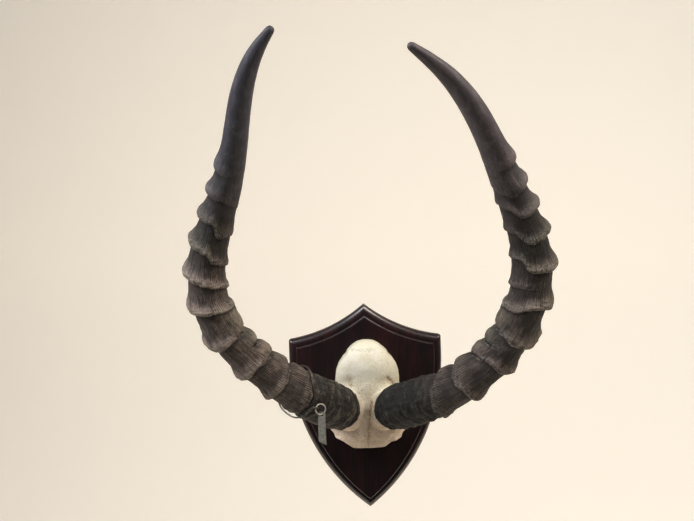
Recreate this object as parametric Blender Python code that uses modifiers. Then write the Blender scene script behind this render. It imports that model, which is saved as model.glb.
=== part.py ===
"""Ringed antelope horns on a sawn skull cap, screwed to a small moulded wooden shield.

The object hangs on a wall. X runs across it, Y points into the wall and Z points up, so it
faces -Y. The origin is the middle of the shield's flat back. "Out" means away from the wall.
Sizes are written in millimetres times MM, except in the rows for the horns and the skull cap,
which are in plain millimetres. The scene's unit is the metre.
"""

import math

import bmesh
import bpy
import numpy as np
from mathutils import Matrix, Vector

MM = 0.001
GAP = 0.3 * MM  # kept between pieces that touch

# Shield: a heater outline with a beaded edge
SHIELD_WIDTH = 152 * MM
SHIELD_HEIGHT = 203 * MM
SHIELD_THICKNESS = 18 * MM
SHIELD_CORNER_DROP = 33 * MM  # from the apex down to the two upper corners
SHIELD_TOP_RADIUS = 150 * MM  # of the hollow arcs between the apex and the corners
SHIELD_SIDE_STRAIGHT = 18 * MM  # upright stretch of each side below a corner
SHIELD_TOP_STEPS = 7
SHIELD_LOW_STEPS = 10
BACK_CHAMFER = 0.8 * MM
BEAD_START = 5.5 * MM  # height of the square edge below the bead
BEAD_RADIUS = 6.5 * MM
BEAD_STEPS = 3
QUIRK_WIDTH = 1.5 * MM  # flat between the bead and the step up to the field
ARRIS = 0.9 * MM  # softened edge of the field

# Skull cap: outline of one half as (across, up) in mm, from the crown to the sawn lower edge
SKULL_HALF_OUTLINE = [
    (0, 66.5), (11, 64.5), (18.5, 57.5), (21.5, 53), (27, 46.5), (30.8, 36), (31.3, 27), (31.5, 18),
    (34, 5), (38, -8), (38.5, -17), (33.5, -22.5), (32.5, -28), (24, -31.5), (14.5, -37.8), (0, -37.8),
]
SKULL_CENTRE = (0.8, 12)
# Swellings of its face in mm: (across, up, half width, half height, how far out of the shield)
SKULL_SWELLINGS = [
    (1, 40, 35, 28, 25),
    (0, 0, 43, 31, 33),
    (0, -24, 40, 24, 22),
]
SWELLING_BLEND = 6
SKULL_WALL = 9  # mm; least height of its face above the field of the shield
SKULL_LOOPS = (0.97, 0.88, 0.74, 0.56, 0.36, 0.16)  # parts of the way out from the centre
SKULL_POINTS = 24  # along one half of the outline
SKULL_EDGE = 0.75  # height of the edge's upright wall, as a part of the full height there
CORE_LENGTH = 20  # mm of horn core between the skull and the rim of a horn
CORE_ROOT = 0.85  # girth of a core at its root as a part of that at its top
CORE_INSET = 2.7  # mm that a core is slimmer than the horn on it

# Horns: centre line as (across, out, up) in mm, from the skull to the tip
LEFT_LINE = [
    (-27, 50, 5), (-55, 79, 21.5), (-86, 101, 45), (-111.5, 117, 69.5), (-132, 133, 105),
    (-135, 145, 139), (-124.5, 160, 177.5), (-111, 179, 211.5), (-100.5, 202, 243.5),
    (-92, 225, 275), (-77, 248, 304), (-63.5, 262, 318),
]
RIGHT_LINE = [
    (25, 50, 3), (60.5, 82, 17.5), (90, 103, 35.5), (114.5, 118, 58), (131.5, 131, 84.5),
    (141, 144, 116), (139.5, 157, 150), (126.5, 175, 185), (109, 197, 221),
    (91.5, 219, 251.5), (68, 240, 279.5), (35, 262, 302),
]
# Diameter between the rings as (distance along the horn, diameter) in mm
LEFT_GIRTH = [
    (0, 42), (35, 41.5), (60, 38.5), (97, 33.5), (137, 31.5), (193, 32), (226, 31), (255, 28),
    (279, 25.5), (300, 23.8), (320, 21.8), (346, 19.7), (370, 18.2), (388, 16), (405, 13.2),
    (415, 11), (428, 8), (439, 5.5),
]
RIGHT_GIRTH = [
    (0, 42), (35, 41.5), (60, 38.5), (105, 34), (145, 33), (181, 34), (214, 34), (240, 32),
    (265, 29.5), (295, 26), (320, 23.5), (345, 21.4), (365, 20), (385, 17.8), (405, 14.8),
    (420, 12), (435, 9.2), (451, 5.5),
]
# Rings: where the crest lies along the horn and how high it stands, in mm, each given as
# (outer side, front, inner side, back). At a height of 0 the ring dies out on that side.
LEFT_RINGS = [
    ((10, 8, 10, 12), (0.6, 0.7, 0.5, 0.5)),
    ((21, 19, 22, 23), (0.8, 0.9, 0.6, 0.6)),
    ((32, 30, 35, 35), (1.0, 1.2, 0.8, 0.8)),
    ((43, 42, 48, 47), (1.2, 1.2, 1.0, 0.8)),
    ((56, 57, 67, 62), (1.8, 1.8, 2.2, 1.4)),
    ((78, 81, 87, 83), (3.6, 2.8, 2.8, 2.2)),
    ((113, 110, 108, 111), (4.6, 3.4, 4.2, 2.6)),
    ((133, 129, 128, 131), (0.0, 0.3, 3.2, 0.8)),
    ((151, 145, 147, 150), (5.0, 3.8, 3.2, 2.6)),
    ((180, 175, 171, 176), (5.0, 4.0, 3.6, 2.6)),
    ((208, 200, 193, 201), (5.0, 3.8, 2.4, 2.4)),
    ((236, 229, 219, 228), (4.8, 3.4, 2.0, 2.2)),
    ((259.5, 253, 245, 252), (4.4, 3.0, 1.8, 2.0)),
    ((283, 279, 270, 277), (3.6, 2.2, 1.0, 1.4)),
    ((309, 306, 306, 307), (2.2, 1.2, 0.5, 0.7)),
]
RIGHT_RINGS = [
    ((9, 8, 10, 12), (0.6, 0.7, 0.5, 0.5)),
    ((20, 18, 21, 22), (0.8, 0.9, 0.6, 0.6)),
    ((31, 29, 33, 34), (1.0, 1.2, 0.8, 0.8)),
    ((42, 41, 47, 46), (1.2, 1.2, 1.0, 0.8)),
    ((56, 59, 71, 63), (2.4, 1.8, 1.8, 1.2)),
    ((88, 87, 92, 90), (4.2, 3.2, 3.2, 2.4)),
    ((124, 122, 116, 119), (4.8, 3.4, 3.8, 2.6)),
    ((143, 139, 136, 140), (0.0, 0.3, 3.4, 0.8)),
    ((158, 154, 154, 156), (5.2, 4.0, 3.4, 2.6)),
    ((187, 182, 174, 180), (5.2, 4.2, 3.8, 2.8)),
    ((203, 201, 200, 202), (0.0, 0.6, 2.0, 0.4)),
    ((218, 217, 229, 222), (5.2, 4.2, 2.2, 2.6)),
    ((247, 246, 259, 253), (4.8, 3.6, 2.0, 2.2)),
    ((272, 269, 285, 277), (4.4, 3.2, 1.8, 2.0)),
    ((295, 292, 303, 297), (3.6, 2.2, 1.0, 1.4)),
    ((319, 317, 327, 321), (2.6, 1.4, 1.0, 0.8)),
]
LOW_RING = 1.3  # mm; between two rings no higher than this there are fewer edge loops
RIM_SLANT = 9  # mm that the front of a horn's rim reaches further down than its sides
RIM_LIP = ((0, 2.4), (1.0, 0.8), (3.2, 0))  # rounding of the rim as (along, inwards) in mm
RING_STEP = 0.2  # part of the spacing on the steep side of a ring, which faces the skull
RING_FALL = 0.72  # part of the spacing on its gentle side, which faces the tip
TALL_RING_LOOPS = (0, 0.12, 0.3, 0.52, 0.8)  # edge loops, as parts of the way to the next ring
LOW_RING_LOOPS = (0, 0.5)
TIP_PARTS = (0, 0.06, 0.13, 0.24, 0.4, 0.56, 0.7, 0.83, 0.93, 0.98, 0.997)
TIP_ROUND = 4  # mm over which the end of the horn rounds off
HORN_SIDES = 18

# Wire round the left horn, as (along the horn in mm, turn from the front in degrees, mm clear)
WIRE_ROUTE = [
    (49.8, 24, 1.2), (51.2, 2, 0.4), (53.4, -20, 0.4), (57.2, -42, 0.4), (60.8, -66, 0.4),
    (63, -90, 0.4), (64.5, -116, 0.4), (66.5, -142, 0.4), (69, -170, 0.6), (71, -198, 1.2),
    (70.5, -226, 2.3), (67.5, -250, 3.2), (62.5, -272, 3.6), (57, -290, 3), (52.8, -308, 2.2),
    (50.2, -324, 1.6),
]
WIRE_REACH = 1.6  # mm on either side that the wire's clearance looks at
WIRE_DIAMETER = 1.3 * MM
WIRE_SPACING = 3.8 * MM  # between points along the loop
TWIST_TURNS = 1.25
TWIST_RADIUS = 0.85 * MM
TWIST_POINTS = 7
HOOK_CLEARANCE = 0.35 * MM
HOOK_POINTS = 5
HOOK_SWEEP = math.radians(230)

# Ring and tag
RING_CENTRE = Vector((-43.4, -97.6, 11.4)) * MM
RING_DIAMETER = 9.4 * MM  # at the middle of its wire
RING_WIRE = 1.2 * MM
RING_YAW = math.radians(22)
HOOK_ANGLE = math.radians(160)  # where the wire holds the ring, from +X towards +Z
TAG_WIDTH = 7.6 * MM
TAG_LENGTH = 30 * MM
TAG_THICKNESS = 0.7 * MM
TAG_SKEW = 3 * MM  # one lower corner hangs this much further down than the other
TAG_CORNER = 1.7 * MM  # cut off the two upper corners
TAG_HOLE = 3.2 * MM
TAG_HOLE_INSET = 2.7 * MM  # from the top edge to the hole's middle
TAG_DROP = 0.5 * MM  # from the ring's wire down to the hole's middle
TAG_ANGLE = math.radians(-78)  # where the tag hangs on the ring, from +X towards +Z
TAG_YAW = math.radians(-30)

# Fixings on the back
SCREW_HEIGHTS = {"upper": 34 * MM, "lower": -20 * MM}
SCREW_HEAD = 7.4 * MM
SCREW_CONE = 3 * MM
SCREW_SHANK = 3.6 * MM
SCREW_LENGTH = 30 * MM
SCREW_SINK = 0.4 * MM  # head below the wood
CROSS_SIZE = (3.6 * MM, 1.4 * MM, 0.8 * MM)
HANGER_HEIGHT = 72 * MM
HANGER_LENGTH = 42 * MM
HANGER_WIDTH = 8 * MM
HANGER_THICKNESS = 1 * MM
HANGER_TEETH = 13
HANGER_TOOTHED = 26 * MM
TOOTH_DEPTH = 1.3 * MM
RECESS_DEPTH = 2.4 * MM
RECESS_MARGIN = 1 * MM
POCKET_WIDTH = 28 * MM  # deeper hollow behind the teeth, for the head of the wall nail
POCKET_HEIGHT = 14 * MM
POCKET_DEPTH = 3.8 * MM
NAIL_HEAD = 3.4 * MM
NAIL_HEAD_THICKNESS = 0.5 * MM
NAIL_SHANK = 1.5 * MM
NAIL_LENGTH = 9 * MM
NAIL_INSET = 4 * MM
FACING_OUT = (math.pi / 2, 0, 0)  # turns a piece's own +Z to point away from the wall
ROUND_SIDES = 12
MERGE = 0.01 * MM


# ---------------------------------------------------------------- shared tools

def clear_scene():
    """Remove everything that the scene holds."""
    for thing in list(bpy.data.objects):
        bpy.data.objects.remove(thing, do_unlink=True)


def new_collection(name):
    """Make a collection and link it to the scene."""
    made = bpy.data.collections.new(name)
    bpy.context.scene.collection.children.link(made)
    return made


def new_material(name, colour, roughness, metallic=0.0):
    """Make a Principled material from a linear colour."""
    made = bpy.data.materials.new(name)
    made.use_nodes = True
    shader = made.node_tree.nodes["Principled BSDF"]
    shader.inputs["Base Color"].default_value = (*colour, 1.0)
    shader.inputs["Roughness"].default_value = roughness
    shader.inputs["Metallic"].default_value = metallic
    return made


def add_object(name, data, group, finish=None, sharp_angle=None):
    """Link a mesh or curve as a named object, with its material and smooth shading."""
    made = bpy.data.objects.new(name, data)
    group.objects.link(made)
    if finish is not None:
        data.materials.append(finish)
    if sharp_angle is not None:
        data.shade_smooth()
        data.set_sharp_from_angle(angle=math.radians(sharp_angle))
    return made


def to_mesh(name, shape):
    """Turn a bmesh into mesh data with its faces outward."""
    bmesh.ops.recalc_face_normals(shape, faces=shape.faces)
    data = bpy.data.meshes.new(name)
    shape.to_mesh(data)
    shape.free()
    return data


def loft(name, loops):
    """Skin a row of loops that have the same number of points, and close both ends."""
    shape = bmesh.new()
    rows = [[shape.verts.new(point) for point in loop] for loop in loops]
    for row, following in zip(rows, rows[1:]):
        for k, corner in enumerate(row):
            after = (k + 1) % len(row)
            shape.faces.new((corner, row[after], following[after], following[k]))
    ends = [shape.faces.new(rows[0]), shape.faces.new(rows[-1])]
    bmesh.ops.triangulate(shape, faces=ends)
    return to_mesh(name, shape)


def add_turned(name, profile, group, location, finish=None):
    """Turn a profile of (radius, height), top first, into a piece that faces out of the wall."""
    data = bpy.data.meshes.new(name)
    corners = [(radius, 0, height) for radius, height in profile]
    data.from_pydata(corners, [(k, k + 1) for k in range(len(profile) - 1)], [])
    made = add_object(name, data, group, finish)
    made.location = location
    made.rotation_euler = FACING_OUT
    step = made.modifiers.new("turned", 'SCREW')
    step.steps = ROUND_SIDES
    step.render_steps = ROUND_SIDES
    step.use_merge_vertices = True
    step.merge_threshold = MERGE
    return made


def box(name, size):
    """Make a box of a given size, centred on its own origin."""
    shape = bmesh.new()
    bmesh.ops.create_cube(shape, size=1)
    bmesh.ops.scale(shape, vec=Vector(size), verts=shape.verts)
    return to_mesh(name, shape)


def drill(name, diameter, depth):
    """Make a cylinder along Y that reaches as far into the wood as out of its back."""
    shape = bmesh.new()
    lay = Matrix.Rotation(math.pi / 2, 4, 'X') @ Matrix.Rotation(math.pi / ROUND_SIDES, 4, 'Z')
    bmesh.ops.create_cone(
        shape, cap_ends=True, segments=ROUND_SIDES, radius1=diameter / 2, radius2=diameter / 2,
        depth=2 * depth, matrix=lay)
    return to_mesh(name, shape)


def flat_outline(name, outlines, thickness):
    """Make a plate from closed outlines of (across, up); an outline inside another is a hole."""
    curve = bpy.data.curves.new(name, 'CURVE')
    curve.dimensions = '2D'
    curve.fill_mode = 'BOTH'
    curve.extrude = thickness / 2
    for outline in outlines:
        spline = curve.splines.new('POLY')
        spline.points.add(len(outline) - 1)
        for place, (across, up) in zip(spline.points, outline):
            place.co = (across, up, 0, 1)
        spline.use_cyclic_u = True
    return curve


def as_cutter(thing):
    """Mark an object as one that only cuts or joins others."""
    thing.hide_render = True
    thing.display_type = 'WIRE'
    return thing


def add_cutter(name, data, group, location=(0, 0, 0)):
    """Add a shape that only cuts or joins others."""
    made = as_cutter(add_object(name, data, group))
    made.location = location
    return made


def combine(thing, other, operation='DIFFERENCE'):
    """Cut another object out of this one, or join it on."""
    step = thing.modifiers.new(other.name, 'BOOLEAN')
    step.operation = operation
    step.object = other


def circle(radius, centre=(0, 0), sides=12):
    """Corners of a regular polygon, as (across, up)."""
    angles = [2 * math.pi * k / sides for k in range(sides)]
    return [(centre[0] + radius * math.cos(a), centre[1] + radius * math.sin(a)) for a in angles]


def smooth_line(points):
    """Return a smooth function of distance through the points, and its length.

    It is a natural cubic spline whose parameter is the distance between the points.
    """
    rows = np.asarray(points, dtype=float)
    knots = np.concatenate(([0.0], np.cumsum(np.linalg.norm(np.diff(rows, axis=0), axis=1))))
    steps = np.diff(knots)
    system = np.eye(len(rows))
    bends = np.zeros_like(rows)
    for i in range(1, len(rows) - 1):
        system[i, i - 1:i + 2] = steps[i - 1], 2 * (steps[i - 1] + steps[i]), steps[i]
        slopes = (rows[i + 1] - rows[i]) / steps[i], (rows[i] - rows[i - 1]) / steps[i - 1]
        bends[i] = 6 * (slopes[0] - slopes[1])
    bends = np.linalg.solve(system, bends)

    def at(distance):
        i = int(np.clip(np.searchsorted(knots, distance, side='right') - 1, 0, len(rows) - 2))
        step = steps[i]
        done = distance - knots[i]
        left = knots[i + 1] - distance
        place = (bends[i] * left ** 3 + bends[i + 1] * done ** 3) / (6 * step)
        place += (rows[i] / step - bends[i] * step / 6) * left
        place += (rows[i + 1] / step - bends[i + 1] * step / 6) * done
        return Vector(place)

    return at, float(knots[-1])


def around(values, turn):
    """Blend (outer, front, inner, back) values round a horn; a turn of 0 is its front."""
    outer, front, inner, back = values
    mean = (outer + front + inner + back) / 4
    lopsided = (front + back - outer - inner) / 4
    swing = (front - back) / 2 * math.cos(turn) + (outer - inner) / 2 * math.sin(turn)
    return mean + swing + lopsided * math.cos(2 * turn)


# ---------------------------------------------------------------- horns

class Horn:
    """One horn: its centre line, girth and rings. Its own lengths are in millimetres."""

    def __init__(self, line, girth, rings, side):
        self.at, self.length = smooth_line([(x, -out, up) for x, out, up in line])
        self.girth_at, self.girth = zip(*girth)
        self.rings = rings
        self.side = side

    def frame(self, along):
        """Centre and the forward, front and outer directions at a distance."""
        ahead = self.at(along + 0.5) - self.at(along - 0.5)
        forward = ahead.normalized()
        facing = Vector((0, -1, 0))
        front = (facing - facing.dot(forward) * forward).normalized()
        return self.at(along), forward, front, self.side * forward.cross(front)

    def radius(self, along):
        """Radius between the rings, rounded off at the tip."""
        plain = float(np.interp(along, self.girth_at, self.girth)) / 2
        short = max(0.0, 1 - max(0.0, self.length - along) / TIP_ROUND)
        return plain * math.sqrt(1 - short ** 2)

    def crests(self, turn):
        """Distances of the rim and of every ring's crest at a turn."""
        rim = -RIM_SLANT * math.cos(turn)
        return [rim] + [around(places, turn) for places, heights in self.rings]

    def heights(self, turn):
        """Heights of the rim, which is 0, and of every ring at a turn."""
        return [0.0] + [max(0.0, around(heights, turn)) for places, heights in self.rings]

    def swell(self, along, turn):
        """How far the rings lift the surface."""
        crests = self.crests(turn)
        heights = self.heights(turn)
        below = sum(1 for crest in crests if crest <= along) - 1
        if below < 0:
            return 0.0
        above = min(below + 1, len(crests) - 1)
        spacing = crests[above] - crests[below] if above > below else crests[-1] - crests[-2]
        place = (along - crests[below]) / spacing
        lift = heights[below] * (1 + math.cos(math.pi * min(1.0, place / RING_FALL))) / 2
        if above > below:
            climb = max(0.0, (place - 1 + RING_STEP) / RING_STEP)
            lift += heights[above] * (1 - math.cos(math.pi * climb)) / 2
        return lift

    def point(self, along, turn, clear=0.0):
        """A point on the surface, or clear of it, in metres."""
        centre, forward, front, outer = self.frame(along)
        spoke = math.cos(turn) * front + math.sin(turn) * outer
        reach = self.radius(along) + self.swell(along, turn) + clear
        return (centre + reach * spoke) * MM

    def above(self, along, turn, clear):
        """A point clear of the highest surface near it, where a stiff wire would pass."""
        nearby = (self.swell(along + offset, turn) for offset in (-WIRE_REACH, 0, WIRE_REACH))
        return self.point(along, turn, clear + max(nearby) - self.swell(along, turn))

    def loop(self, distance, clear=0.0):
        """A loop round the horn; distance(turn) says how far along each point lies."""
        turns = [2 * math.pi * k / HORN_SIDES for k in range(HORN_SIDES)]
        return [self.point(distance(turn), turn, clear) for turn in turns]

    def rim(self, along, inwards):
        """A loop that runs with the slanting rim."""
        return self.loop(lambda turn: along - RIM_SLANT * math.cos(turn), -inwards)

    def between(self, ring, part):
        """A loop a part of the way from one ring to the next, or from the last to the tip."""
        def distance(turn):
            stops = self.crests(turn) + [self.length]
            return stops[ring] + part * (stops[ring + 1] - stops[ring])

        return self.loop(distance)

    def loops(self):
        """All loops from the rim to the tip."""
        made = [self.rim(along, inwards) for along, inwards in RIM_LIP]
        tall = [max(heights) > LOW_RING for places, heights in self.rings]
        for ring in range(1, len(self.rings)):
            parts = TALL_RING_LOOPS if tall[ring - 1] or tall[ring] else LOW_RING_LOOPS
            made += [self.between(ring, part) for part in parts]
        made += [self.between(len(self.rings), part) for part in TIP_PARTS]
        return made

    def core_loops(self):
        """Two loops of the bony core under the rim, its root first."""
        forward = self.frame(0)[1]
        gap = GAP / MM / math.cos(math.atan2(RIM_SLANT, self.radius(0)))
        top = [point - forward * gap * MM for point in self.rim(0, CORE_INSET)]
        middle = sum(top, Vector()) / len(top)
        shift = forward * CORE_LENGTH * MM
        root = [middle + (point - middle) * CORE_ROOT - shift for point in top]
        return [root, top]


# ---------------------------------------------------------------- shield

def shield_outline(inset):
    """Corners of the shield's edge, moved in by an inset, as (across, up) from the apex round."""
    half = SHIELD_WIDTH / 2
    apex = Vector((0, SHIELD_HEIGHT / 2))
    corner = Vector((half, apex.y - SHIELD_CORNER_DROP))
    chord = corner - apex
    outward = Vector((-chord.y, chord.x)).normalized()
    reach = math.sqrt(SHIELD_TOP_RADIUS ** 2 - chord.length_squared / 4)
    top_centre = (apex + corner) / 2 + outward * reach
    top_radius = SHIELD_TOP_RADIUS + inset
    start = math.asin(-top_centre.x / top_radius)
    end = math.asin((half - inset - top_centre.x) / top_radius)
    points = []
    for k in range(SHIELD_TOP_STEPS + 1):
        angle = start + (end - start) * k / SHIELD_TOP_STEPS
        points.append(top_centre + top_radius * Vector((math.sin(angle), -math.cos(angle))))

    side_end = corner.y - SHIELD_SIDE_STRAIGHT
    drop = side_end + SHIELD_HEIGHT / 2
    full_radius = (half ** 2 + drop ** 2) / (2 * half)
    low_centre = Vector((half - full_radius, side_end))
    low_radius = full_radius - inset
    tip_angle = math.acos(-low_centre.x / low_radius)
    for k in range(SHIELD_LOW_STEPS + 1):
        angle = tip_angle * k / SHIELD_LOW_STEPS
        points.append(low_centre + low_radius * Vector((math.cos(angle), -math.sin(angle))))

    mirrored = [Vector((-point.x, point.y)) for point in reversed(points[1:-1])]
    return points + mirrored


def edge_profile():
    """The moulding as (inset, height above the back), from the back to the field."""
    profile = [(BACK_CHAMFER, 0), (0, BACK_CHAMFER)]
    for k in range(BEAD_STEPS + 1):
        angle = math.pi / 2 * k / BEAD_STEPS
        profile.append((BEAD_RADIUS * (1 - math.cos(angle)), BEAD_START + BEAD_RADIUS * math.sin(angle)))
    step_foot = BEAD_RADIUS + QUIRK_WIDTH
    profile.append((step_foot, BEAD_START + BEAD_RADIUS))
    profile.append((step_foot + ARRIS / 2, SHIELD_THICKNESS - ARRIS))
    profile.append((step_foot + ARRIS * 1.5, SHIELD_THICKNESS))
    return profile


def make_shield(group, cutters, finish):
    """Model the wooden shield with its holes and the recess for the hanger."""
    loops = []
    for inset, height in edge_profile():
        loops.append([Vector((point.x, -height, point.y)) for point in shield_outline(inset)])
    shield = add_object("shield", loft("shield", loops), group, finish, 25)

    for name, height in SCREW_HEIGHTS.items():
        hole = as_cutter(add_turned(f"screw_hole_{name}", screw_hole_profile(), cutters, (0, 0, height)))
        combine(shield, hole)
    recess = box("hanger_recess", (HANGER_LENGTH + 2 * RECESS_MARGIN, 2 * RECESS_DEPTH,
                                   HANGER_WIDTH + 2 * RECESS_MARGIN))
    combine(shield, add_cutter("hanger_recess", recess, cutters, (0, 0, HANGER_HEIGHT)))
    pocket = box("nail_pocket", (POCKET_WIDTH, 2 * POCKET_DEPTH, POCKET_HEIGHT))
    teeth_height = HANGER_HEIGHT - HANGER_WIDTH / 2
    combine(shield, add_cutter("nail_pocket", pocket, cutters, (0, 0, teeth_height)))
    for side, across in nail_places().items():
        hole = drill(f"nail_hole_{side}", NAIL_SHANK + 2 * GAP, NAIL_LENGTH + GAP)
        combine(shield, add_cutter(f"nail_hole_{side}", hole, cutters, (across, 0, HANGER_HEIGHT)))


# ---------------------------------------------------------------- skull cap

def skull_height(across, up):
    """How far the skull cap stands out of the shield's field, in mm."""
    total = SKULL_WALL ** SWELLING_BLEND
    for middle_x, middle_z, half_width, half_height, reach in SKULL_SWELLINGS:
        inside = 1 - ((across - middle_x) / half_width) ** 2 - ((up - middle_z) / half_height) ** 2
        total += (reach * math.sqrt(max(0.0, inside))) ** SWELLING_BLEND
    return total ** (1 / SWELLING_BLEND)


def skull_outline():
    """Points round the skull cap, as (across, up) in mm."""
    line, length = smooth_line(SKULL_HALF_OUTLINE)
    half = [line(length * k / SKULL_POINTS) for k in range(SKULL_POINTS + 1)]
    mirrored = [Vector((-point.x, point.y)) for point in reversed(half[1:-1])]
    return half + mirrored


def make_skull(group, cutters, finish, horns):
    """Model the skull cap, join on the cores of the horns and drill it for the screws."""
    base = SHIELD_THICKNESS + GAP
    centre = Vector(SKULL_CENTRE)
    outline = skull_outline()
    loops = [[Vector((p.x * MM, -base, p.y * MM)) for p in outline]]
    for part, rise in [(1, SKULL_EDGE)] + [(part, 1) for part in SKULL_LOOPS]:
        loop = []
        for point in outline:
            across, up = centre + part * (point - centre)
            out = base + rise * skull_height(across, up) * MM
            loop.append(Vector((across * MM, -out, up * MM)))
        loops.append(loop)
    skull = add_object("skull_cap", loft("skull_cap", loops), group, finish, 40)

    for name, horn in horns.items():
        core = loft(f"core_{name}", horn.core_loops())
        combine(skull, add_cutter(f"core_{name}", core, cutters), 'UNION')
    for name, height in SCREW_HEIGHTS.items():
        pilot = drill(f"pilot_{name}", SCREW_SHANK + 2 * GAP, SCREW_LENGTH + GAP)
        combine(skull, add_cutter(f"pilot_{name}", pilot, cutters, (0, 0, height)))


# ---------------------------------------------------------------- wire, ring and tag

def ring_frame():
    """The hook's outward direction and the ring's axis."""
    turn = Matrix.Rotation(RING_YAW, 3, 'Z')
    outward = turn @ Vector((math.cos(HOOK_ANGLE), 0, math.sin(HOOK_ANGLE)))
    return outward, turn @ Vector((0, -1, 0))


def wire_points(horn):
    """The wire's route: one twisted strand, the loop round the horn, the other strand, the hook."""
    radius = WIRE_DIAMETER / 2 / MM
    loop = [horn.above(along, math.radians(turn), clear + radius) for along, turn, clear in WIRE_ROUTE]
    outward, axis = ring_frame()
    held = RING_CENTRE + outward * RING_DIAMETER / 2
    hook_radius = (RING_WIRE + WIRE_DIAMETER) / 2 + HOOK_CLEARANCE
    twist_end = held + outward * (hook_radius + TWIST_RADIUS)
    twist_start = (loop[0] + loop[-1]) / 2
    along = (twist_end - twist_start).normalized()
    first = (loop[0] - loop[-1])
    first = (first - first.dot(along) * along).normalized()
    second = along.cross(first)

    strands = []
    for phase in (0, math.pi):
        strand = []
        for k in range(1, TWIST_POINTS + 1):
            part = k / TWIST_POINTS
            angle = phase + 2 * math.pi * TWIST_TURNS * part
            spoke = math.cos(angle) * first + math.sin(angle) * second
            strand.append(twist_start.lerp(twist_end, part) + TWIST_RADIUS * spoke)
        strands.append(strand)

    hook = []
    for k in range(HOOK_POINTS + 1):
        angle = HOOK_SWEEP * k / HOOK_POINTS
        hook.append(held + hook_radius * (math.cos(angle) * outward + math.sin(angle) * axis))

    line, length = smooth_line(loop)
    count = round(length / WIRE_SPACING)
    loop = [line(length * k / count) for k in range(count + 1)]
    return strands[0][::-1] + loop + strands[1] + hook


def make_wire(group, finish, horn):
    """Model the wire as a tube along its route."""
    curve = bpy.data.curves.new("tag_wire", 'CURVE')
    curve.dimensions = '3D'
    curve.bevel_depth = WIRE_DIAMETER / 2
    curve.bevel_resolution = 2
    curve.use_fill_caps = True
    points = wire_points(horn)
    spline = curve.splines.new('POLY')
    spline.points.add(len(points) - 1)
    for place, point in zip(spline.points, points):
        place.co = (*point, 1)
    add_object("tag_wire", curve, group, finish)


def make_ring(group, finish):
    """Model the ring that the wire holds."""
    bpy.ops.mesh.primitive_torus_add(
        major_segments=24, minor_segments=6, major_radius=RING_DIAMETER / 2, minor_radius=RING_WIRE / 2)
    ring = bpy.context.object
    ring.name = "tag_ring"
    ring.data.name = "tag_ring"
    ring.data.materials.append(finish)
    ring.data.shade_smooth()
    ring.rotation_euler = (*FACING_OUT[:2], RING_YAW)
    ring.location = RING_CENTRE
    for owner in list(ring.users_collection):
        owner.objects.unlink(ring)
    group.objects.link(ring)


def make_tag(group, finish):
    """Model the metal strip that hangs from the foot of the ring."""
    half = TAG_WIDTH / 2
    top = TAG_HOLE_INSET
    bottom = top - TAG_LENGTH
    outline = [
        (-half, bottom + TAG_SKEW), (half, bottom), (half, top - TAG_CORNER), (half - TAG_CORNER, top),
        (TAG_CORNER - half, top), (-half, top - TAG_CORNER),
    ]
    plate = flat_outline("tag", [outline, circle(TAG_HOLE / 2)], TAG_THICKNESS)
    tag = add_object("tag", plate, group, finish)
    tag.rotation_euler = (*FACING_OUT[:2], TAG_YAW)
    down = Matrix.Rotation(RING_YAW, 3, 'Z') @ Vector((math.cos(TAG_ANGLE), 0, math.sin(TAG_ANGLE)))
    tag.location = RING_CENTRE + down * RING_DIAMETER / 2 - Vector((0, 0, TAG_DROP))


# ---------------------------------------------------------------- fixings

def screw_profile():
    """A countersunk screw as (radius, height), its point first."""
    neck = SCREW_SINK + SCREW_CONE
    shank = SCREW_SHANK / 2
    return [
        (0, SCREW_LENGTH), (shank, SCREW_LENGTH - 2 * SCREW_SHANK), (shank, neck),
        (SCREW_HEAD / 2, SCREW_SINK), (0, SCREW_SINK),
    ]


def screw_hole_profile():
    """The countersunk hole through the shield, open at both ends."""
    neck = SCREW_SINK + SCREW_CONE
    shank = SCREW_SHANK / 2 + GAP
    head = SCREW_HEAD / 2 + GAP
    through = 2 * SHIELD_THICKNESS
    return [
        (0, through), (shank, through), (shank, neck), (head, SCREW_SINK), (head, -SCREW_SINK),
        (0, -SCREW_SINK),
    ]


def make_screws(group, cutters, finish):
    """Model the two screws that hold the skull cap, each with a crossed slot in its head."""
    length, depth, width = CROSS_SIZE
    for name, height in SCREW_HEIGHTS.items():
        screw = add_turned(f"skull_screw_{name}", screw_profile(), group, (0, 0, height), finish)
        arms = {"flat": (length, 2 * depth, width), "upright": (width, 2 * depth, length)}
        for arm, size in arms.items():
            slot = box(f"slot_{name}_{arm}", size)
            combine(screw, add_cutter(f"slot_{name}_{arm}", slot, cutters, (0, -SCREW_SINK, height)))


def nail_places():
    """Where the hanger's nails are, across the shield."""
    reach = HANGER_LENGTH / 2 - NAIL_INSET
    return {"left": -reach, "right": reach}


def make_hanger(group, finish):
    """Model the sawtooth strip that hangs on a nail in the wall."""
    half_length = HANGER_LENGTH / 2
    half_width = HANGER_WIDTH / 2
    pitch = HANGER_TOOTHED / HANGER_TEETH
    teeth = []
    for k in range(HANGER_TEETH):
        start = -HANGER_TOOTHED / 2 + k * pitch
        teeth += [(start, -half_width), (start + pitch / 2, TOOTH_DEPTH - half_width)]
    outline = [(-half_length, half_width), (-half_length, -half_width)]
    outline += teeth + [(HANGER_TOOTHED / 2, -half_width)]
    outline += [(half_length, -half_width), (half_length, half_width)]
    holes = [circle(NAIL_SHANK / 2 + GAP, (across, 0)) for across in nail_places().values()]
    strip = flat_outline("hanger", [outline] + holes, HANGER_THICKNESS)
    hanger = add_object("hanger", strip, group, finish)
    hanger.rotation_euler = FACING_OUT
    hanger.location = (0, -RECESS_DEPTH + GAP + HANGER_THICKNESS / 2, HANGER_HEIGHT)


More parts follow.
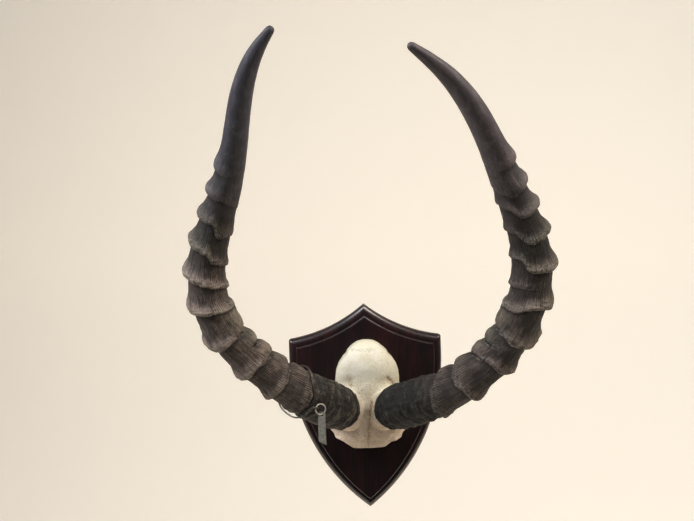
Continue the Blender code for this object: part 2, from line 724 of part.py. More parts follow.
def make_nails(group, finish):
    """Model the two nails that hold the hanger."""
    seat = RECESS_DEPTH - 2 * GAP - HANGER_THICKNESS
    head = NAIL_HEAD / 2
    shank = NAIL_SHANK / 2
    profile = [
        (0, NAIL_LENGTH), (shank, NAIL_LENGTH - NAIL_SHANK), (shank, seat), (head, seat),
        (head, seat - NAIL_HEAD_THICKNESS), (0, seat - NAIL_HEAD_THICKNESS),
    ]
    for side, across in nail_places().items():
        add_turned(f"hanger_nail_{side}", profile, group, (across, 0, HANGER_HEIGHT), finish)


# ---------------------------------------------------------------- the whole object

def main():
    """Build every piece."""
    clear_scene()
    group = new_collection("horn_trophy")
    cutters = new_collection("cutters")

    wood = new_material("lacquered_wood", (0.022, 0.009, 0.009), 0.28)
    bone = new_material("bone", (0.72, 0.66, 0.5), 0.6)
    keratin = new_material("horn_keratin", (0.045, 0.037, 0.033), 0.55)
    dark_wire = new_material("dark_wire", (0.02, 0.02, 0.022), 0.45, 0.6)
    steel = new_material("steel", (0.55, 0.54, 0.52), 0.32, 1.0)
    tag_metal = new_material("tag_metal", (0.25, 0.26, 0.25), 0.5, 0.8)

    horns = {
        "left": Horn(LEFT_LINE, LEFT_GIRTH, LEFT_RINGS, -1),
        "right": Horn(RIGHT_LINE, RIGHT_GIRTH, RIGHT_RINGS, 1),
    }
    for name, horn in horns.items():
        add_object(f"horn_{name}", loft(f"horn_{name}", horn.loops()), group, keratin, 40)
    make_shield(group, cutters, wood)
    make_skull(group, cutters, bone, horns)
    make_wire(group, dark_wire, horns["left"])
    make_ring(group, steel)
    make_tag(group, tag_metal)
    make_screws(group, cutters, steel)
    make_hanger(group, steel)
    make_nails(group, steel)


main()
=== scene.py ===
"""Dressed model of ringed antelope horns on a sawn skull cap and a small lacquered shield.

X runs across the shield, Y points into the wall and Z points up, so the object faces -Y.
Shapes are modelled in millimetres, and each finished mesh is scaled to the frame's metres.
"""

import logging
import math
from collections.abc import Callable, Sequence
from dataclasses import dataclass
from enum import Enum
from functools import cached_property, partial

import bmesh
import bpy
import numpy as np
from mathutils import Matrix, Vector, noise


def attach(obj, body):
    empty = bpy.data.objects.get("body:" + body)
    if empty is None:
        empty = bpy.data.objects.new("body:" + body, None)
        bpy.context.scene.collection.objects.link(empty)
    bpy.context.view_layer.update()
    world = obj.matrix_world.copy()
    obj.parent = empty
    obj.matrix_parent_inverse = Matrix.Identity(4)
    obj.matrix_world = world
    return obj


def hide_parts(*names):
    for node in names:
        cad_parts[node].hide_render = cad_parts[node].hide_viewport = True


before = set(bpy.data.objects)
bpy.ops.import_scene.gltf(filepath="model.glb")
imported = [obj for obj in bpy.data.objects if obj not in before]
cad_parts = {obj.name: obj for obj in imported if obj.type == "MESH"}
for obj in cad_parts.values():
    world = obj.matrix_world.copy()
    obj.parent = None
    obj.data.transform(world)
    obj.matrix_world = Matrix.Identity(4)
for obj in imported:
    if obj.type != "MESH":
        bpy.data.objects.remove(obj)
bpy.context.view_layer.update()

MM = 0.001
GAP = 0.3  # kept between pieces that touch
MERGE = 0.0005  # points closer than this are one
CUT_MERGE = 0.003  # the same, after pieces are cut or joined
FACING_OUT = Matrix.Rotation(math.pi / 2, 4, 'X')  # turns a piece's own +Z away from the wall
ROUND_STEPS = 36

Array = np.ndarray
Shape = bmesh.types.BMesh
Pair = tuple[float, float]
Triple = tuple[float, float, float]
Places = Sequence[Pair]
Spots = Sequence[tuple[float, float, float, float, float]]  # (across, up, half sizes, strength)
Span = tuple[float, ...]  # (low, high) of what is read, then (at low, at high) of what it gives
Stops = tuple[tuple[float, str], ...]
Layer = Triple  # noise: its height, the size of one lump, a shift
Adder = Callable[..., bpy.types.NodeSocket]

log = logging.getLogger("horn_trophy")


class Side(Enum):
    """The viewer's side of the object that a horn grows on; the value is the sign of X."""

    LEFT = -1
    RIGHT = 1


# ---------------------------------------------------------------- shared tools


def linear(code: str) -> tuple[float, ...]:
    """Turn an sRGB hex colour into a linear one with full alpha.

    Args:
        code: Colour such as "#e6dfc4".

    Returns:
        Linear red, green, blue and alpha.
    """
    parts = [int(code[k:k + 2], 16) / 255 for k in (1, 3, 5)]
    light = [part / 12.92 if part <= 0.04045 else ((part + 0.055) / 1.055) ** 2.4 for part in parts]
    return (*light, 1.0)


def feed(socket: bpy.types.NodeSocket, value: object) -> None:
    """Give an input its value, or link it to the output that feeds it.

    Args:
        socket: The input.
        value: A plain value or an output socket.
    """
    if isinstance(value, bpy.types.NodeSocket):
        socket.id_data.links.new(value, socket)
    else:
        socket.default_value = value


def add_node(tree: bpy.types.NodeTree, kind: str, *values: object, out: str = "",
             named: dict | None = None, stops: Stops = (), **settings: object) -> bpy.types.NodeSocket:
    """Add a node with its settings, values and links.

    Args:
        tree: Node tree that gets the node.
        kind: Type of the node without its "ShaderNode" prefix.
        values: Values of its inputs in order, or the outputs that feed them.
        out: Name of the output to return; the first one in use if left out.
        named: Values or outputs for inputs by name.
        stops: Places and hex colours of a colour ramp.
        settings: Properties of the node itself.

    Returns:
        The output.
    """
    node = tree.nodes.new("ShaderNode" + kind)
    for name, value in settings.items():
        setattr(node, name, value)
    for socket, value in zip([socket for socket in node.inputs if socket.enabled], values):
        feed(socket, value)
    for name, value in (named or {}).items():
        feed(node.inputs[name], value)
    for k, (place, code) in enumerate(stops):
        ramp = node.color_ramp.elements
        stop = ramp[k] if k < 2 else ramp.new(place)
        stop.position = place
        stop.color = linear(code)
    return node.outputs[out] if out else next(socket for socket in node.outputs if socket.enabled)


def noise_at(points: Array, *layers: Layer) -> Array:
    """Add up smooth noise at points.

    Args:
        points: Places in mm, as rows of three numbers.
        layers: Height, rough size of one lump in mm, and a shift that sets a reading apart.

    Returns:
        One value a point.
    """
    total = np.zeros(len(points))
    for height, size, shift in layers:
        scaled = (points / size + shift).tolist()
        total += height * np.fromiter((noise.noise(place) for place in scaled), float, len(scaled))
    return total


def unit(rows: Array) -> Array:
    """Scale vectors to a length of 1."""
    return rows / np.linalg.norm(rows, axis=-1, keepdims=True)


def ease(value: Array, start: float, end: float) -> Array:
    """Rise smoothly from 0 at start to 1 at end."""
    part = np.clip((value - start) / (end - start), 0, 1)
    return part * part * (3 - 2 * part)


def bell(value: Array, middle: float, width: float) -> Array:
    """Fall smoothly from 1 at the middle to near 0 at two widths from it."""
    return np.exp(-((value - middle) / width) ** 2)


class SmoothLine:
    """A natural cubic spline through points, read by the distance along it."""

    def __init__(self, points: Sequence[Sequence[float]]) -> None:
        """Solve the spline.

        Args:
            points: The points that it passes through, in mm.
        """
        self.rows = np.asarray(points, dtype=float)
        spans = np.linalg.norm(np.diff(self.rows, axis=0), axis=1)
        self.knots = np.concatenate(([0.0], np.cumsum(spans)))
        self.steps = np.diff(self.knots)
        system = np.eye(len(self.rows))
        bends = np.zeros_like(self.rows)
        slopes = np.diff(self.rows, axis=0) / self.steps[:, None]
        for k in range(1, len(self.rows) - 1):
            before, after = self.steps[k - 1], self.steps[k]
            system[k, k - 1:k + 2] = before, 2 * (before + after), after
            bends[k] = 6 * (slopes[k] - slopes[k - 1])
        self.bends = np.linalg.solve(system, bends)
        self.length = float(self.knots[-1])

    def at(self, distance: Array | float) -> Array:
        """Find places on it.

        Args:
            distance: Distances along it.

        Returns:
            The points.
        """
        distance = np.asarray(distance, dtype=float)
        k = np.clip(np.searchsorted(self.knots, distance, side="right") - 1, 0, len(self.steps) - 1)
        step = self.steps[k][..., None]
        done = (distance - self.knots[k])[..., None]
        left = step - done
        place = (self.bends[k] * left ** 3 + self.bends[k + 1] * done ** 3) / (6 * step)
        place += (self.rows[k] / step - self.bends[k] * step / 6) * left
        return place + (self.rows[k + 1] / step - self.bends[k + 1] * step / 6) * done


def linked(name: str, data: bpy.types.ID) -> bpy.types.Object:
    """Make an object and link it to the scene.

    Args:
        name: Name of the object.
        data: Its mesh, light or camera data.

    Returns:
        The object.
    """
    made = bpy.data.objects.new(name, data)
    bpy.context.scene.collection.objects.link(made)
    return made


def mesh_of(shape: Shape, name: str) -> bpy.types.Mesh:
    """Turn a bmesh into mesh data with its faces outward, and free it.

    Args:
        shape: The shape.
        name: Name of the data.

    Returns:
        The mesh data.
    """
    bmesh.ops.recalc_face_normals(shape, faces=shape.faces)
    data = bpy.data.meshes.new(name)
    shape.to_mesh(data)
    shape.free()
    return data


def passing(shape: Shape) -> bpy.types.Object:
    """Link a shape as a passing object, for modifiers to work on."""
    return linked("passing", mesh_of(shape, "passing"))


def rolled(loops: Array, point_end: bool = False,
           marks: dict[str, Array] | None = None) -> Shape:
    """Roll a flat grid into a closed skin through loops of points.

    Args:
        loops: Points as an array of (loop, place round it, xyz).
        point_end: Close the last loop to a point and not with a face.
        marks: Values to keep on the points, by attribute name, each as an array like loops.

    Returns:
        The closed skin.
    """
    count, sides = loops.shape[:2]
    shape = bmesh.new()
    bmesh.ops.create_grid(shape, x_segments=sides, y_segments=count - 1, size=0.5)
    flat = bpy.data.meshes.new("flat")
    shape.to_mesh(flat)
    places = np.empty(len(flat.vertices) * 3)
    flat.vertices.foreach_get("co", places)
    places = places.reshape(-1, 3) + 0.5
    column = np.rint(places[:, 0] * sides).astype(int) % sides
    row = np.rint(places[:, 1] * (count - 1)).astype(int)
    flat.vertices.foreach_set("co", loops[row, column].ravel())
    for name, values in (marks or {}).items():
        layer = flat.attributes.new(name, 'FLOAT_VECTOR', 'POINT')
        layer.data.foreach_set("vector", values[row, column].ravel())
    shape.clear()
    shape.from_mesh(flat)
    bpy.data.meshes.remove(flat)
    if point_end:
        shape.verts.ensure_lookup_table()
        last = [shape.verts[k] for k in np.flatnonzero(row == count - 1)]
        bmesh.ops.pointmerge(shape, verts=last, merge_co=Vector(loops[-1].mean(axis=0)))
    bmesh.ops.remove_doubles(shape, verts=shape.verts, dist=MERGE)
    rims = [edge for edge in shape.edges if edge.is_boundary]
    caps = bmesh.ops.holes_fill(shape, edges=rims, sides=0)["faces"]
    bmesh.ops.poke(shape, faces=[face for face in caps if len(face.verts) > 4])
    return shape


def tube(points: Array, radii: Array, sides: int = 14) -> Shape:
    """Sweep a round section along points, with domed ends.

    Args:
        points: The centre line, in mm.
        radii: Radius at each point.
        sides: Number of sides of the section.

    Returns:
        The closed tube.
    """
    ahead = unit(np.gradient(points, axis=0))
    dome = ((1.0, 0.2), (0.87, 0.5), (0.5, 0.87))  # (how far past the end, radius), in radii
    starts = [(points[0] - ahead[0] * radii[0] * past, radii[0] * size, ahead[0])
              for past, size in dome]
    ends = [(points[-1] + ahead[-1] * radii[-1] * past, radii[-1] * size, ahead[-1])
            for past, size in reversed(dome)]
    spoke = np.cross(ahead[0], (0.3, 0.5, 0.8))
    angles = np.linspace(0, 2 * math.pi, sides, endpoint=False)[:, None]
    loops = []
    for centre, radius, forward in (*starts, *zip(points, radii, ahead), *ends):
        spoke = unit(spoke - spoke @ forward * forward)
        other = np.cross(forward, spoke)
        loops.append(centre + radius * (np.cos(angles) * spoke + np.sin(angles) * other))
    return rolled(np.array(loops))


def standing(across: float, up: float) -> Matrix:
    """Place of a part whose own +Z stands out of the wall."""
    return Matrix.Translation((across, 0, up)) @ FACING_OUT


def turned(profile: Places, across: float, up: float) -> Shape:
    """Spin a profile round an axis that stands out of the wall.

    Args:
        profile: Corners as (radius, mm out of the wall), from one end of the axis to the other.
        across: Place of the axis.
        up: Height of the axis.

    Returns:
        The closed turned shape.
    """
    shape = bmesh.new()
    corners = [shape.verts.new((radius, 0, height)) for radius, height in profile]
    edges = [shape.edges.new(pair) for pair in zip(corners, corners[1:])]
    bmesh.ops.spin(shape, geom=corners + edges, cent=(0, 0, 0), axis=(0, 0, 1), dvec=(0, 0, 0),
                   angle=2 * math.pi, steps=ROUND_STEPS, use_merge=True, use_duplicate=False)
    bmesh.ops.remove_doubles(shape, verts=shape.verts, dist=MERGE)
    bmesh.ops.transform(shape, matrix=standing(across, up), verts=shape.verts)
    return shape


def drill(diameter: float, depth: float, across: float, up: float, sides: int) -> bpy.types.Object:
    """Make a round cutter that stands out of the wall.

    Args:
        diameter: Its diameter.
        depth: How far it reaches to both sides of the wall's face.
        across: Place of its axis.
        up: Height of its axis.
        sides: Number of its sides.

    Returns:
        The cutter.
    """
    hole = bmesh.new()
    bmesh.ops.create_cone(hole, cap_ends=True, segments=sides, radius1=diameter / 2,
                          radius2=diameter / 2, depth=2 * depth, matrix=standing(across, up))
    return passing(hole)


def block(size: Sequence[float], place: Sequence[float]) -> bpy.types.Object:
    """Make a square-edged cutter.

    Args:
        size: Its size along the three axes.
        place: Its middle.

    Returns:
        The cutter.
    """
    box = bmesh.new()
    bmesh.ops.create_cube(box, size=1)
    bmesh.ops.scale(box, vec=size, verts=box.verts)
    bmesh.ops.translate(box, vec=place, verts=box.verts)
    return passing(box)


def plate(outlines: Sequence[Places], thickness: float, edge: float) -> Shape:
    """Make a flat plate from closed outlines, in the XY plane and centred on it.

    Args:
        outlines: Closed rows of (x, y) in mm; an outline inside another is a hole.
        thickness: Thickness in mm.
        edge: Width of the bevel on its edges.

    Returns:
        The closed plate.
    """
    shape = bmesh.new()
    for outline in outlines:
        corners = [shape.verts.new((x, y, -thickness / 2)) for x, y in outline]
        for k, corner in enumerate(corners):
            shape.edges.new((corners[k - 1], corner))
    bmesh.ops.triangle_fill(shape, edges=shape.edges, use_beauty=True)
    raised = bmesh.ops.extrude_face_region(shape, geom=shape.faces[:], use_keep_orig=True)["geom"]
    moved = [part for part in raised if isinstance(part, bmesh.types.BMVert)]
    bmesh.ops.translate(shape, vec=(0, 0, thickness), verts=moved)
    bmesh.ops.recalc_face_normals(shape, faces=shape.faces)
    sharp = [side for side in shape.edges
             if side.is_manifold and side.calc_face_angle() > math.radians(50)]
    bmesh.ops.bevel(shape, geom=sharp, offset=edge, offset_type='OFFSET', affect='EDGES',
                    segments=2, profile=0.5, material=-1, clamp_overlap=True)
    return shape


def arc(centre: Pair, radius: float, start: float, end: float, steps: int) -> Places:
    """Points on an arc.

    Args:
        centre: Middle of the arc as (x, y).
        radius: Radius in mm.
        start: First angle in degrees.
        end: Last angle in degrees.
        steps: Number of steps between the first and the last point.

    Returns:
        The points, as (x, y).
    """
    angles = np.radians(np.linspace(start, end, steps + 1))
    return [(centre[0] + radius * math.cos(a), centre[1] + radius * math.sin(a)) for a in angles]


def combined(body: bpy.types.Object, joined: Sequence[bpy.types.Object] = (),
             cut: Sequence[bpy.types.Object] = (), voxel: float = 0.0) -> Shape:
    """Join and cut passing objects, and remove them.

    Args:
        body: Object that the others change.
        joined: Objects to join on.
        cut: Objects to cut out.
        voxel: Size of the voxels that remake the surface, in mm, or 0 for none.

    Returns:
        The finished shape.
    """
    for operation, others in (('UNION', joined), ('DIFFERENCE', cut)):
        for other in others:
            step = body.modifiers.new(other.name, 'BOOLEAN')
            step.operation = operation
            step.object = other
    if voxel:
        step = body.modifiers.new("remade", 'REMESH')
        step.mode = 'VOXEL'
        step.voxel_size = voxel
    bpy.context.view_layer.update()
    shape = bmesh.new()
    shape.from_object(body, bpy.context.evaluated_depsgraph_get())
    for thing in (body, *joined, *cut):
        bpy.data.objects.remove(thing, do_unlink=True)
    bmesh.ops.remove_doubles(shape, verts=shape.verts, dist=CUT_MERGE)
    bmesh.ops.dissolve_degenerate(shape, dist=CUT_MERGE, edges=shape.edges)
    wide = [face for face in shape.faces if len(face.verts) > 4]
    bmesh.ops.triangulate(shape, faces=wide, quad_method='BEAUTY', ngon_method='BEAUTY')
    return shape


# ---------------------------------------------------------------- finishes


@dataclass(frozen=True)
class Finish:
    """A surface that becomes one material.

    Attributes:
        name: Plain name of the real material.
        roughness: Roughness of the bare surface.
        metallic: 1 for bare metal.
        ior: Refractive index; a metal keeps the default.
        shine: Strength of its reflections; 0.5 is that of its index.
    """

    name: str
    roughness: float
    metallic: float = 0.0
    ior: float = 1.5
    shine: float = 0.5

    def material(self) -> bpy.types.Material:
        """Make the material, with the constants on the shader's own sockets.

        Returns:
            The material.
        """
        made = bpy.data.materials.new(self.name)
        made.use_nodes = True
        shader = made.node_tree.nodes["Principled BSDF"]
        constants = {"Roughness": self.roughness, "Metallic": self.metallic, "IOR": self.ior,
                     "Specular IOR Level": self.shine}
        painted = self.paint(partial(add_node, made.node_tree))
        for name, value in (*constants.items(), *painted.items()):
            feed(shader.inputs[name], value)
        return made

    def paint(self, add: Adder) -> dict[str, object]:
        """Add the finish's own nodes.

        Args:
            add: Adds a node to the material.

        Returns:
            What feeds the shader, by the name of its input.
        """
        raise NotImplementedError


@dataclass(frozen=True)
class HornKeratin(Finish):
    """Horn sheath: dead keratin, grown in fibres. Dull and dusty on the rings, rubbed at the tip.

    The eye sees fine lines along the horn, pale lips that are worn and carry a painted highlight,
    creases blackened with painted shade, hollows and grooves painted darker and crests paler as
    painted shade and light, an olive cast at the foot and a bluish sheen on the smooth end.
    """

    fibre: float = 1.2  # mm between the lines along the horn; real ones are finer
    growth: float = 1.5  # mm between the fine lines across the horn
    blotch: float = 10.0
    speck: float = 1.7
    patch: float = 28.0  # mm; brown and olive areas
    lines: int = 64  # fine grooves round the horn; real ones are finer
    drift: float = 14.0  # radians that the grooves wander
    foot: Span = (48.0, 74.0)  # mm along, where the dark foot ends
    smooth: Span = (255.0, 345.0)  # mm along, where the smooth end starts
    # Depth of the grooves by their wave, in patches, by the distance along, and on the foot;
    # the grooves also darken the colour through the height ramps, as painted shade
    groove: Span = (-0.8, 0.2, -0.36, 0.14)
    groove_patches: Span = (0.4, 0.56, 0.1, 1.0)
    groove_along: Span = (122, 90, 0.75, 2.6)
    groove_foot: Span = (0, 1, 0.12, 1.0)
    # Contrast of the fibres, by the distance along, and on the foot
    streaks: Span = (0.42, 0.58, -0.17, 0.17)
    streaks_along: Span = (110, 170, 1.0, 0.6)
    streaks_foot: Span = (0, 1, 0.35, 1.0)
    wrinkles: Span = (0.36, 0.62, -0.24, 0.24)  # on the foot
    unevenness: Span = (0.3, 0.7, -0.3, 0.3)
    mottling: Span = (0.3, 0.7, -0.16, 0.16)
    olive_part: Span = (0.45, 0.63)
    olive_along: Span = (84, 124)
    splits: Span = (0.37, 0.44, 0.45, 0.0)
    crinkles: Span = (0.42, 0.49, 0.85, 0.0)  # on the lips
    # Pale spots on the lips: partly worn keratin, partly a painted highlight
    rubbed_highlit_spots: Span = (0.44, 0.57, 0.0, 0.75)
    # Strength of the painted shade in the creases and under the lips
    crease_shade: float = 0.92
    end_splits: float = 0.1  # what is left of the splits on the smooth end
    dusk_along: Span = (198, 240)
    dusk: float = 0.5  # what is left of the tone on the upper rings
    # Brightness of the rings and of the foot. The two horns' copies of this keratin differ here, as
    # painted light and shade for how each horn is lit.
    tone: float = 1.0
    foot_tone: float = 1.0
    # Colours by height, which the relief raises: dark in the hollows and pale on the crests, as painted
    # shade and painted light
    brown: Stops = ((0.0, "#302a27"), (1.0, "#6e6359"), (0.25, "#473d39"), (0.6, "#5a4f48"))
    olive: Stops = ((0.0, "#2b2924"), (1.0, "#6d6859"), (0.25, "#413e36"), (0.6, "#545045"))
    footing: Stops = ((0.0, "#151310"), (0.95, "#4d483e"), (0.3, "#2c2924"))
    end: Stops = ((0.0, "#2e2d34"), (0.9, "#5a575b"))
    # Colour of the painted shade in the creases and under the lips
    crease_shade_colour: str = "#0f0c0c"
    # Colour of the worn lips with their painted highlight
    rubbed_highlit_colour: str = "#9b958c"
    split_colour: str = "#1b1715"
    dullness: Span = (0.3, 0.7, 0.78, 0.6)
    end_roughness: float = 0.56
    bump_fade: Span = (0.0, 0.7, 0.9, 0.0)  # towards the smooth end
    bump_depth: float = 0.7

    def paint(self, add: Adder) -> dict[str, object]:
        """Colour by relief, fibres and distance, with painted shade in the hollows, grooves and creases
        and painted light on the crests and lips; bump by fibres.

        Args:
            add: Adds a node to the material.

        Returns:
            What feeds the shader, by the name of its input.
        """
        grain = add("Attribute", out="Vector", attribute_name="grain")
        # The relief, the painted shade in the creases and under the lips, and the worn lips with their
        # painted highlight
        wear = add("Attribute", out="Vector", attribute_name="wear")
        relief, crease, lip = add("SeparateXYZ", wear).node.outputs
        east, north, along = add("SeparateXYZ", grain).node.outputs
        stretched = add("Mapping", grain, named={"Scale": (1, 1, 0.09)})
        fibres = add("TexNoise", stretched, 1 / self.fibre, 4, 0.62)
        flattened = add("Mapping", grain, named={"Scale": (0.12, 0.12, 1)})
        growth = add("TexNoise", flattened, 1 / self.growth, 3)
        blotches = add("TexNoise", grain, 1 / self.blotch, 5, 0.62)
        specks = add("TexNoise", grain, 1 / self.speck, 3, 0.6)
        past_foot = add("MapRange", along, *self.foot)
        to_end = add("MapRange", along, *self.smooth)

        angle = add("Math", north, east, operation='ARCTAN2')
        drift = add("Math", blotches, self.drift, operation='MULTIPLY')
        phase = add("Math", angle, self.lines, drift, operation='MULTIPLY_ADD')
        grooved = add("MapRange", add("Math", phase, operation='SINE'), *self.groove)
        streaked = add("MapRange", fibres, *self.streaks)
        for place, span in ((blotches, self.groove_patches), (along, self.groove_along),
                            (past_foot, self.groove_foot)):
            grooved = add("Math", grooved, add("MapRange", place, *span), operation='MULTIPLY')
        for place, span in ((along, self.streaks_along), (past_foot, self.streaks_foot)):
            streaked = add("Math", streaked, add("MapRange", place, *span), operation='MULTIPLY')
        wrinkled = add("MapRange", growth, *self.wrinkles)
        on_foot = add("MapRange", past_foot, 0, 1, 1, 0)
        streaked = add("Math", wrinkled, on_foot, streaked, operation='MULTIPLY_ADD')
        streaked = add("Math", streaked, grooved, operation='ADD')
        height = add("Math", relief, streaked, operation='ADD')
        for place, span in ((blotches, self.unevenness), (specks, self.mottling)):
            height = add("Math", height, add("MapRange", place, *span), operation='ADD')

        # The ramps turn the relief into painted shade in the hollows and painted light on the crests, and
        # the grooves into painted shade
        brown, olive, footing, sleek = (add("ValToRGB", height, stops=stops)
                                        for stops in (self.brown, self.olive, self.footing, self.end))
        hue = add("MapRange", add("TexNoise", grain, 1 / self.patch, 2), *self.olive_part)
        high = add("MapRange", along, *self.olive_along)
        hue = add("Math", hue, high, operation='MULTIPLY')
        ringed = add("Mix", hue, brown, olive, data_type='RGBA')
        footing = add("HueSaturation", named={"Value": self.foot_tone, "Color": footing})
        ringed = add("HueSaturation", named={"Value": self.tone, "Color": ringed})
        colour = add("Mix", past_foot, footing, ringed, data_type='RGBA')
        dusk = add("MapRange", along, *self.dusk_along, 1, self.dusk)
        colour = add("HueSaturation", named={"Value": dusk, "Color": colour})
        colour = add("Mix", to_end, colour, sleek, data_type='RGBA')

        # Painted shade in the creases and under the lips
        crease_shade = add("Math", crease, self.crease_shade, operation='MULTIPLY')
        # Worn lips with a painted highlight, in spots
        rubbed_and_highlit = add("Math", add("MapRange", specks, *self.rubbed_highlit_spots), lip, operation='MULTIPLY')
        crinkle = add("Math", add("MapRange", growth, *self.crinkles), lip, operation='MULTIPLY')
        split = add("Math", add("MapRange", fibres, *self.splits), crinkle, operation='MAXIMUM')
        ringed_part = add("MapRange", to_end, 0, 1, 1, self.end_splits)
        split = add("Math", split, ringed_part, operation='MULTIPLY')
        for part, code in ((crease_shade, self.crease_shade_colour), (rubbed_and_highlit, self.rubbed_highlit_colour),
                           (split, self.split_colour)):
            colour = add("Mix", part, colour, linear(code), data_type='RGBA')

        dull = add("MapRange", fibres, *self.dullness)
        rough = add("Mix", past_foot, 0.9, 0.35, data_type='FLOAT')
        rough = add("Math", growth, rough, fibres, operation='MULTIPLY_ADD')
        rough = add("Math", specks, 0.7, rough, operation='MULTIPLY_ADD')
        rough = add("Math", grooved, past_foot, rough, operation='MULTIPLY_ADD')
        fading = add("MapRange", to_end, *self.bump_fade)
        bump = add("Bump", named={
            "Strength": fading, "Distance": self.bump_depth * MM, "Height": rough})
        gloss = add("Mix", to_end, dull, self.end_roughness, data_type='FLOAT')
        return {"Base Color": colour, "Roughness": gloss, "Normal": bump}


@dataclass(frozen=True)
class CleanedBone(Finish):
    """Boiled and bleached skull bone: chalky ivory, tan lower down, with brown staining in the seams,
    and painted shade on its sides and between the horns.
    """

    mottle: float = 11.0
    pore: float = 1.3  # mm; real pores are finer
    ivory: Stops = ((0.3, "#d2ceb6"), (0.66, "#e3e0d1"), (0.47, "#dcd8c4"))
    tan: Stops = ((0.3, "#c2a88f"), (0.68, "#f0dcc9"))
    # By the height in mm: tone of the ivory, part that is tan, strength of the speckles
    shading: Span = (38, 60, 1.0, 0.94)
    tan_part: Span = (18, -16, 0.0, 0.8)
    speckle_band: Span = (34, 22, 0.35, 1.0)
    speckles: Span = (0.55, 0.64, 0.0, 0.7)
    broken: Span = (0.3, 0.62, 0.35, 1.0)  # staining and the painted shade between the horns, by the pores
    # Colours of the painted shade on the sides, of the speckles, of the staining with the painted shade
    # between the horns, and of the seams
    side_shade_colour: str = "#a09a7c"
    speckle_colour: str = "#87714c"
    stain_and_shade_colour: str = "#7c5f36"
    seam_colour: str = "#5e4a32"

    def paint(self, add: Adder) -> dict[str, object]:
        """Colour by height, mottling, staining, seams, and painted shade on the sides and between the
        horns; bump by pores.

        Args:
            add: Adds a node to the material.

        Returns:
            What feeds the shader, by the name of its input.
        """
        place = add("TexCoord", out="Object")
        up = add("SeparateXYZ", place, out="Z")
        marks = add("Attribute", out="Vector", attribute_name="marks")
        # Staining with the painted shade between the horns, seams, and painted shade on the sides
        stain_and_shade, seam, side_shade = add("SeparateXYZ", marks).node.outputs
        mottling = add("TexNoise", place, 1 / (self.mottle * MM), 5, 0.6)
        pores = add("TexNoise", place, 1 / (self.pore * MM), 3, 0.7)
        shade, low, band = (add("MapRange", up, span[0] * MM, span[1] * MM, *span[2:])
                            for span in (self.shading, self.tan_part, self.speckle_band))
        speckle = add("MapRange", pores, *self.speckles)
        speckle = add("Math", speckle, band, operation='MULTIPLY')
        # Staining, with the painted shade between the horns, broken up by the pores
        stained = add("Math", stain_and_shade, add("MapRange", pores, *self.broken), operation='MULTIPLY')
        colour = add("ValToRGB", mottling, stops=self.ivory)
        colour = add("HueSaturation", named={"Value": shade, "Color": colour})
        tan = add("ValToRGB", mottling, stops=self.tan)
        for part, other in ((side_shade, linear(self.side_shade_colour)), (low, tan),
                            (speckle, linear(self.speckle_colour)),
                            (stained, linear(self.stain_and_shade_colour)), (seam, linear(self.seam_colour))):
            colour = add("Mix", part, colour, other, data_type='RGBA')
        bump = add("Bump", named={"Strength": 0.25, "Distance": 0.3 * MM, "Height": pores})
        return {"Base Color": colour, "Normal": bump}


@dataclass(frozen=True)
class LacqueredMahogany(Finish):
    """Mahogany, stained nearly black and sprayed with clear lacquer; the back is left bare.

    The eye sees a deep red-black with faint upright grain under a gloss that is a little uneven.
    """

    grain: float = 2.6
    figure: float = 17.0
    peel: float = 3.2
    coat: float = 0.9
    coat_roughness: float = 0.18
    stained: Stops = ((0.55, "#0b0406"), (0.95, "#240d0f"), (0.78, "#13070a"))
    bare: Stops = ((0.55, "#3a2219"), (0.95, "#7b5138"), (0.78, "#5a3826"))
    lacquer_start: Span = (-0.9, -0.3)  # mm in front of the wall

    def paint(self, add: Adder) -> dict[str, object]:
        """Colour by grain, with the bare back by its distance from the wall; bump by the coat.

        Args:
            add: Adds a node to the material.

        Returns:
            What feeds the shader, by the name of its input.
        """
        place = add("TexCoord", out="Object")
        depth = add("SeparateXYZ", place, out="Y")
        upright = add("Mapping", place, named={"Scale": (1, 1, 0.07)})
        fibres = add("TexNoise", upright, 1 / (self.grain * MM), 5, 0.65, named={"Distortion": 0.2})
        figure = add("TexNoise", upright, 1 / (self.figure * MM), 2)
        mixed = add("Math", figure, 0.6, fibres, operation='MULTIPLY_ADD')
        stained, bare = (add("ValToRGB", mixed, stops=stops) for stops in (self.stained, self.bare))
        behind = add("MapRange", depth, *(edge * MM for edge in self.lacquer_start))
        colour = add("Mix", behind, stained, bare, data_type='RGBA')
        peel = add("TexNoise", place, 1 / (self.peel * MM), 2)
        under = add("Math", fibres, 0.35, peel, operation='MULTIPLY_ADD')
        bump = add("Bump", named={"Strength": 0.1, "Distance": 0.12 * MM, "Height": under})
        return {"Base Color": colour, "Normal": bump, "Coat Normal": bump,
                "Coat Weight": self.coat, "Coat Roughness": self.coat_roughness}


@dataclass(frozen=True)
class WornMetal(Finish):
    """Small metal goods: drawn wire, stamped strip or plated screws, with handling marks.

    The eye sees a plain metal whose gloss and tone change in small patches.
    """

    light: str = "#b9b5ad"
    dark: str = "#8f8b84"
    patch: float = 2.5  # mm
    gloss: Pair = (0.1, -0.06)  # what the patches add to the roughness

    def paint(self, add: Adder) -> dict[str, object]:
        """Colour and roughness by patches; bump by fine marks.

        Args:
            add: Adds a node to the material.

        Returns:
            What feeds the shader, by the name of its input.
        """
        patches = add("TexNoise", add("TexCoord", out="Object"), 1 / (self.patch * MM), 5, 0.65)
        colour = add("ValToRGB", patches, stops=((0.35, self.dark), (0.65, self.light)))
        rough = add("MapRange", patches, 0.3, 0.7, *(self.roughness + more for more in self.gloss))
        bump = add("Bump", named={"Strength": 0.12, "Distance": 0.05 * MM, "Height": patches})
        return {"Base Color": colour, "Roughness": rough, "Normal": bump}


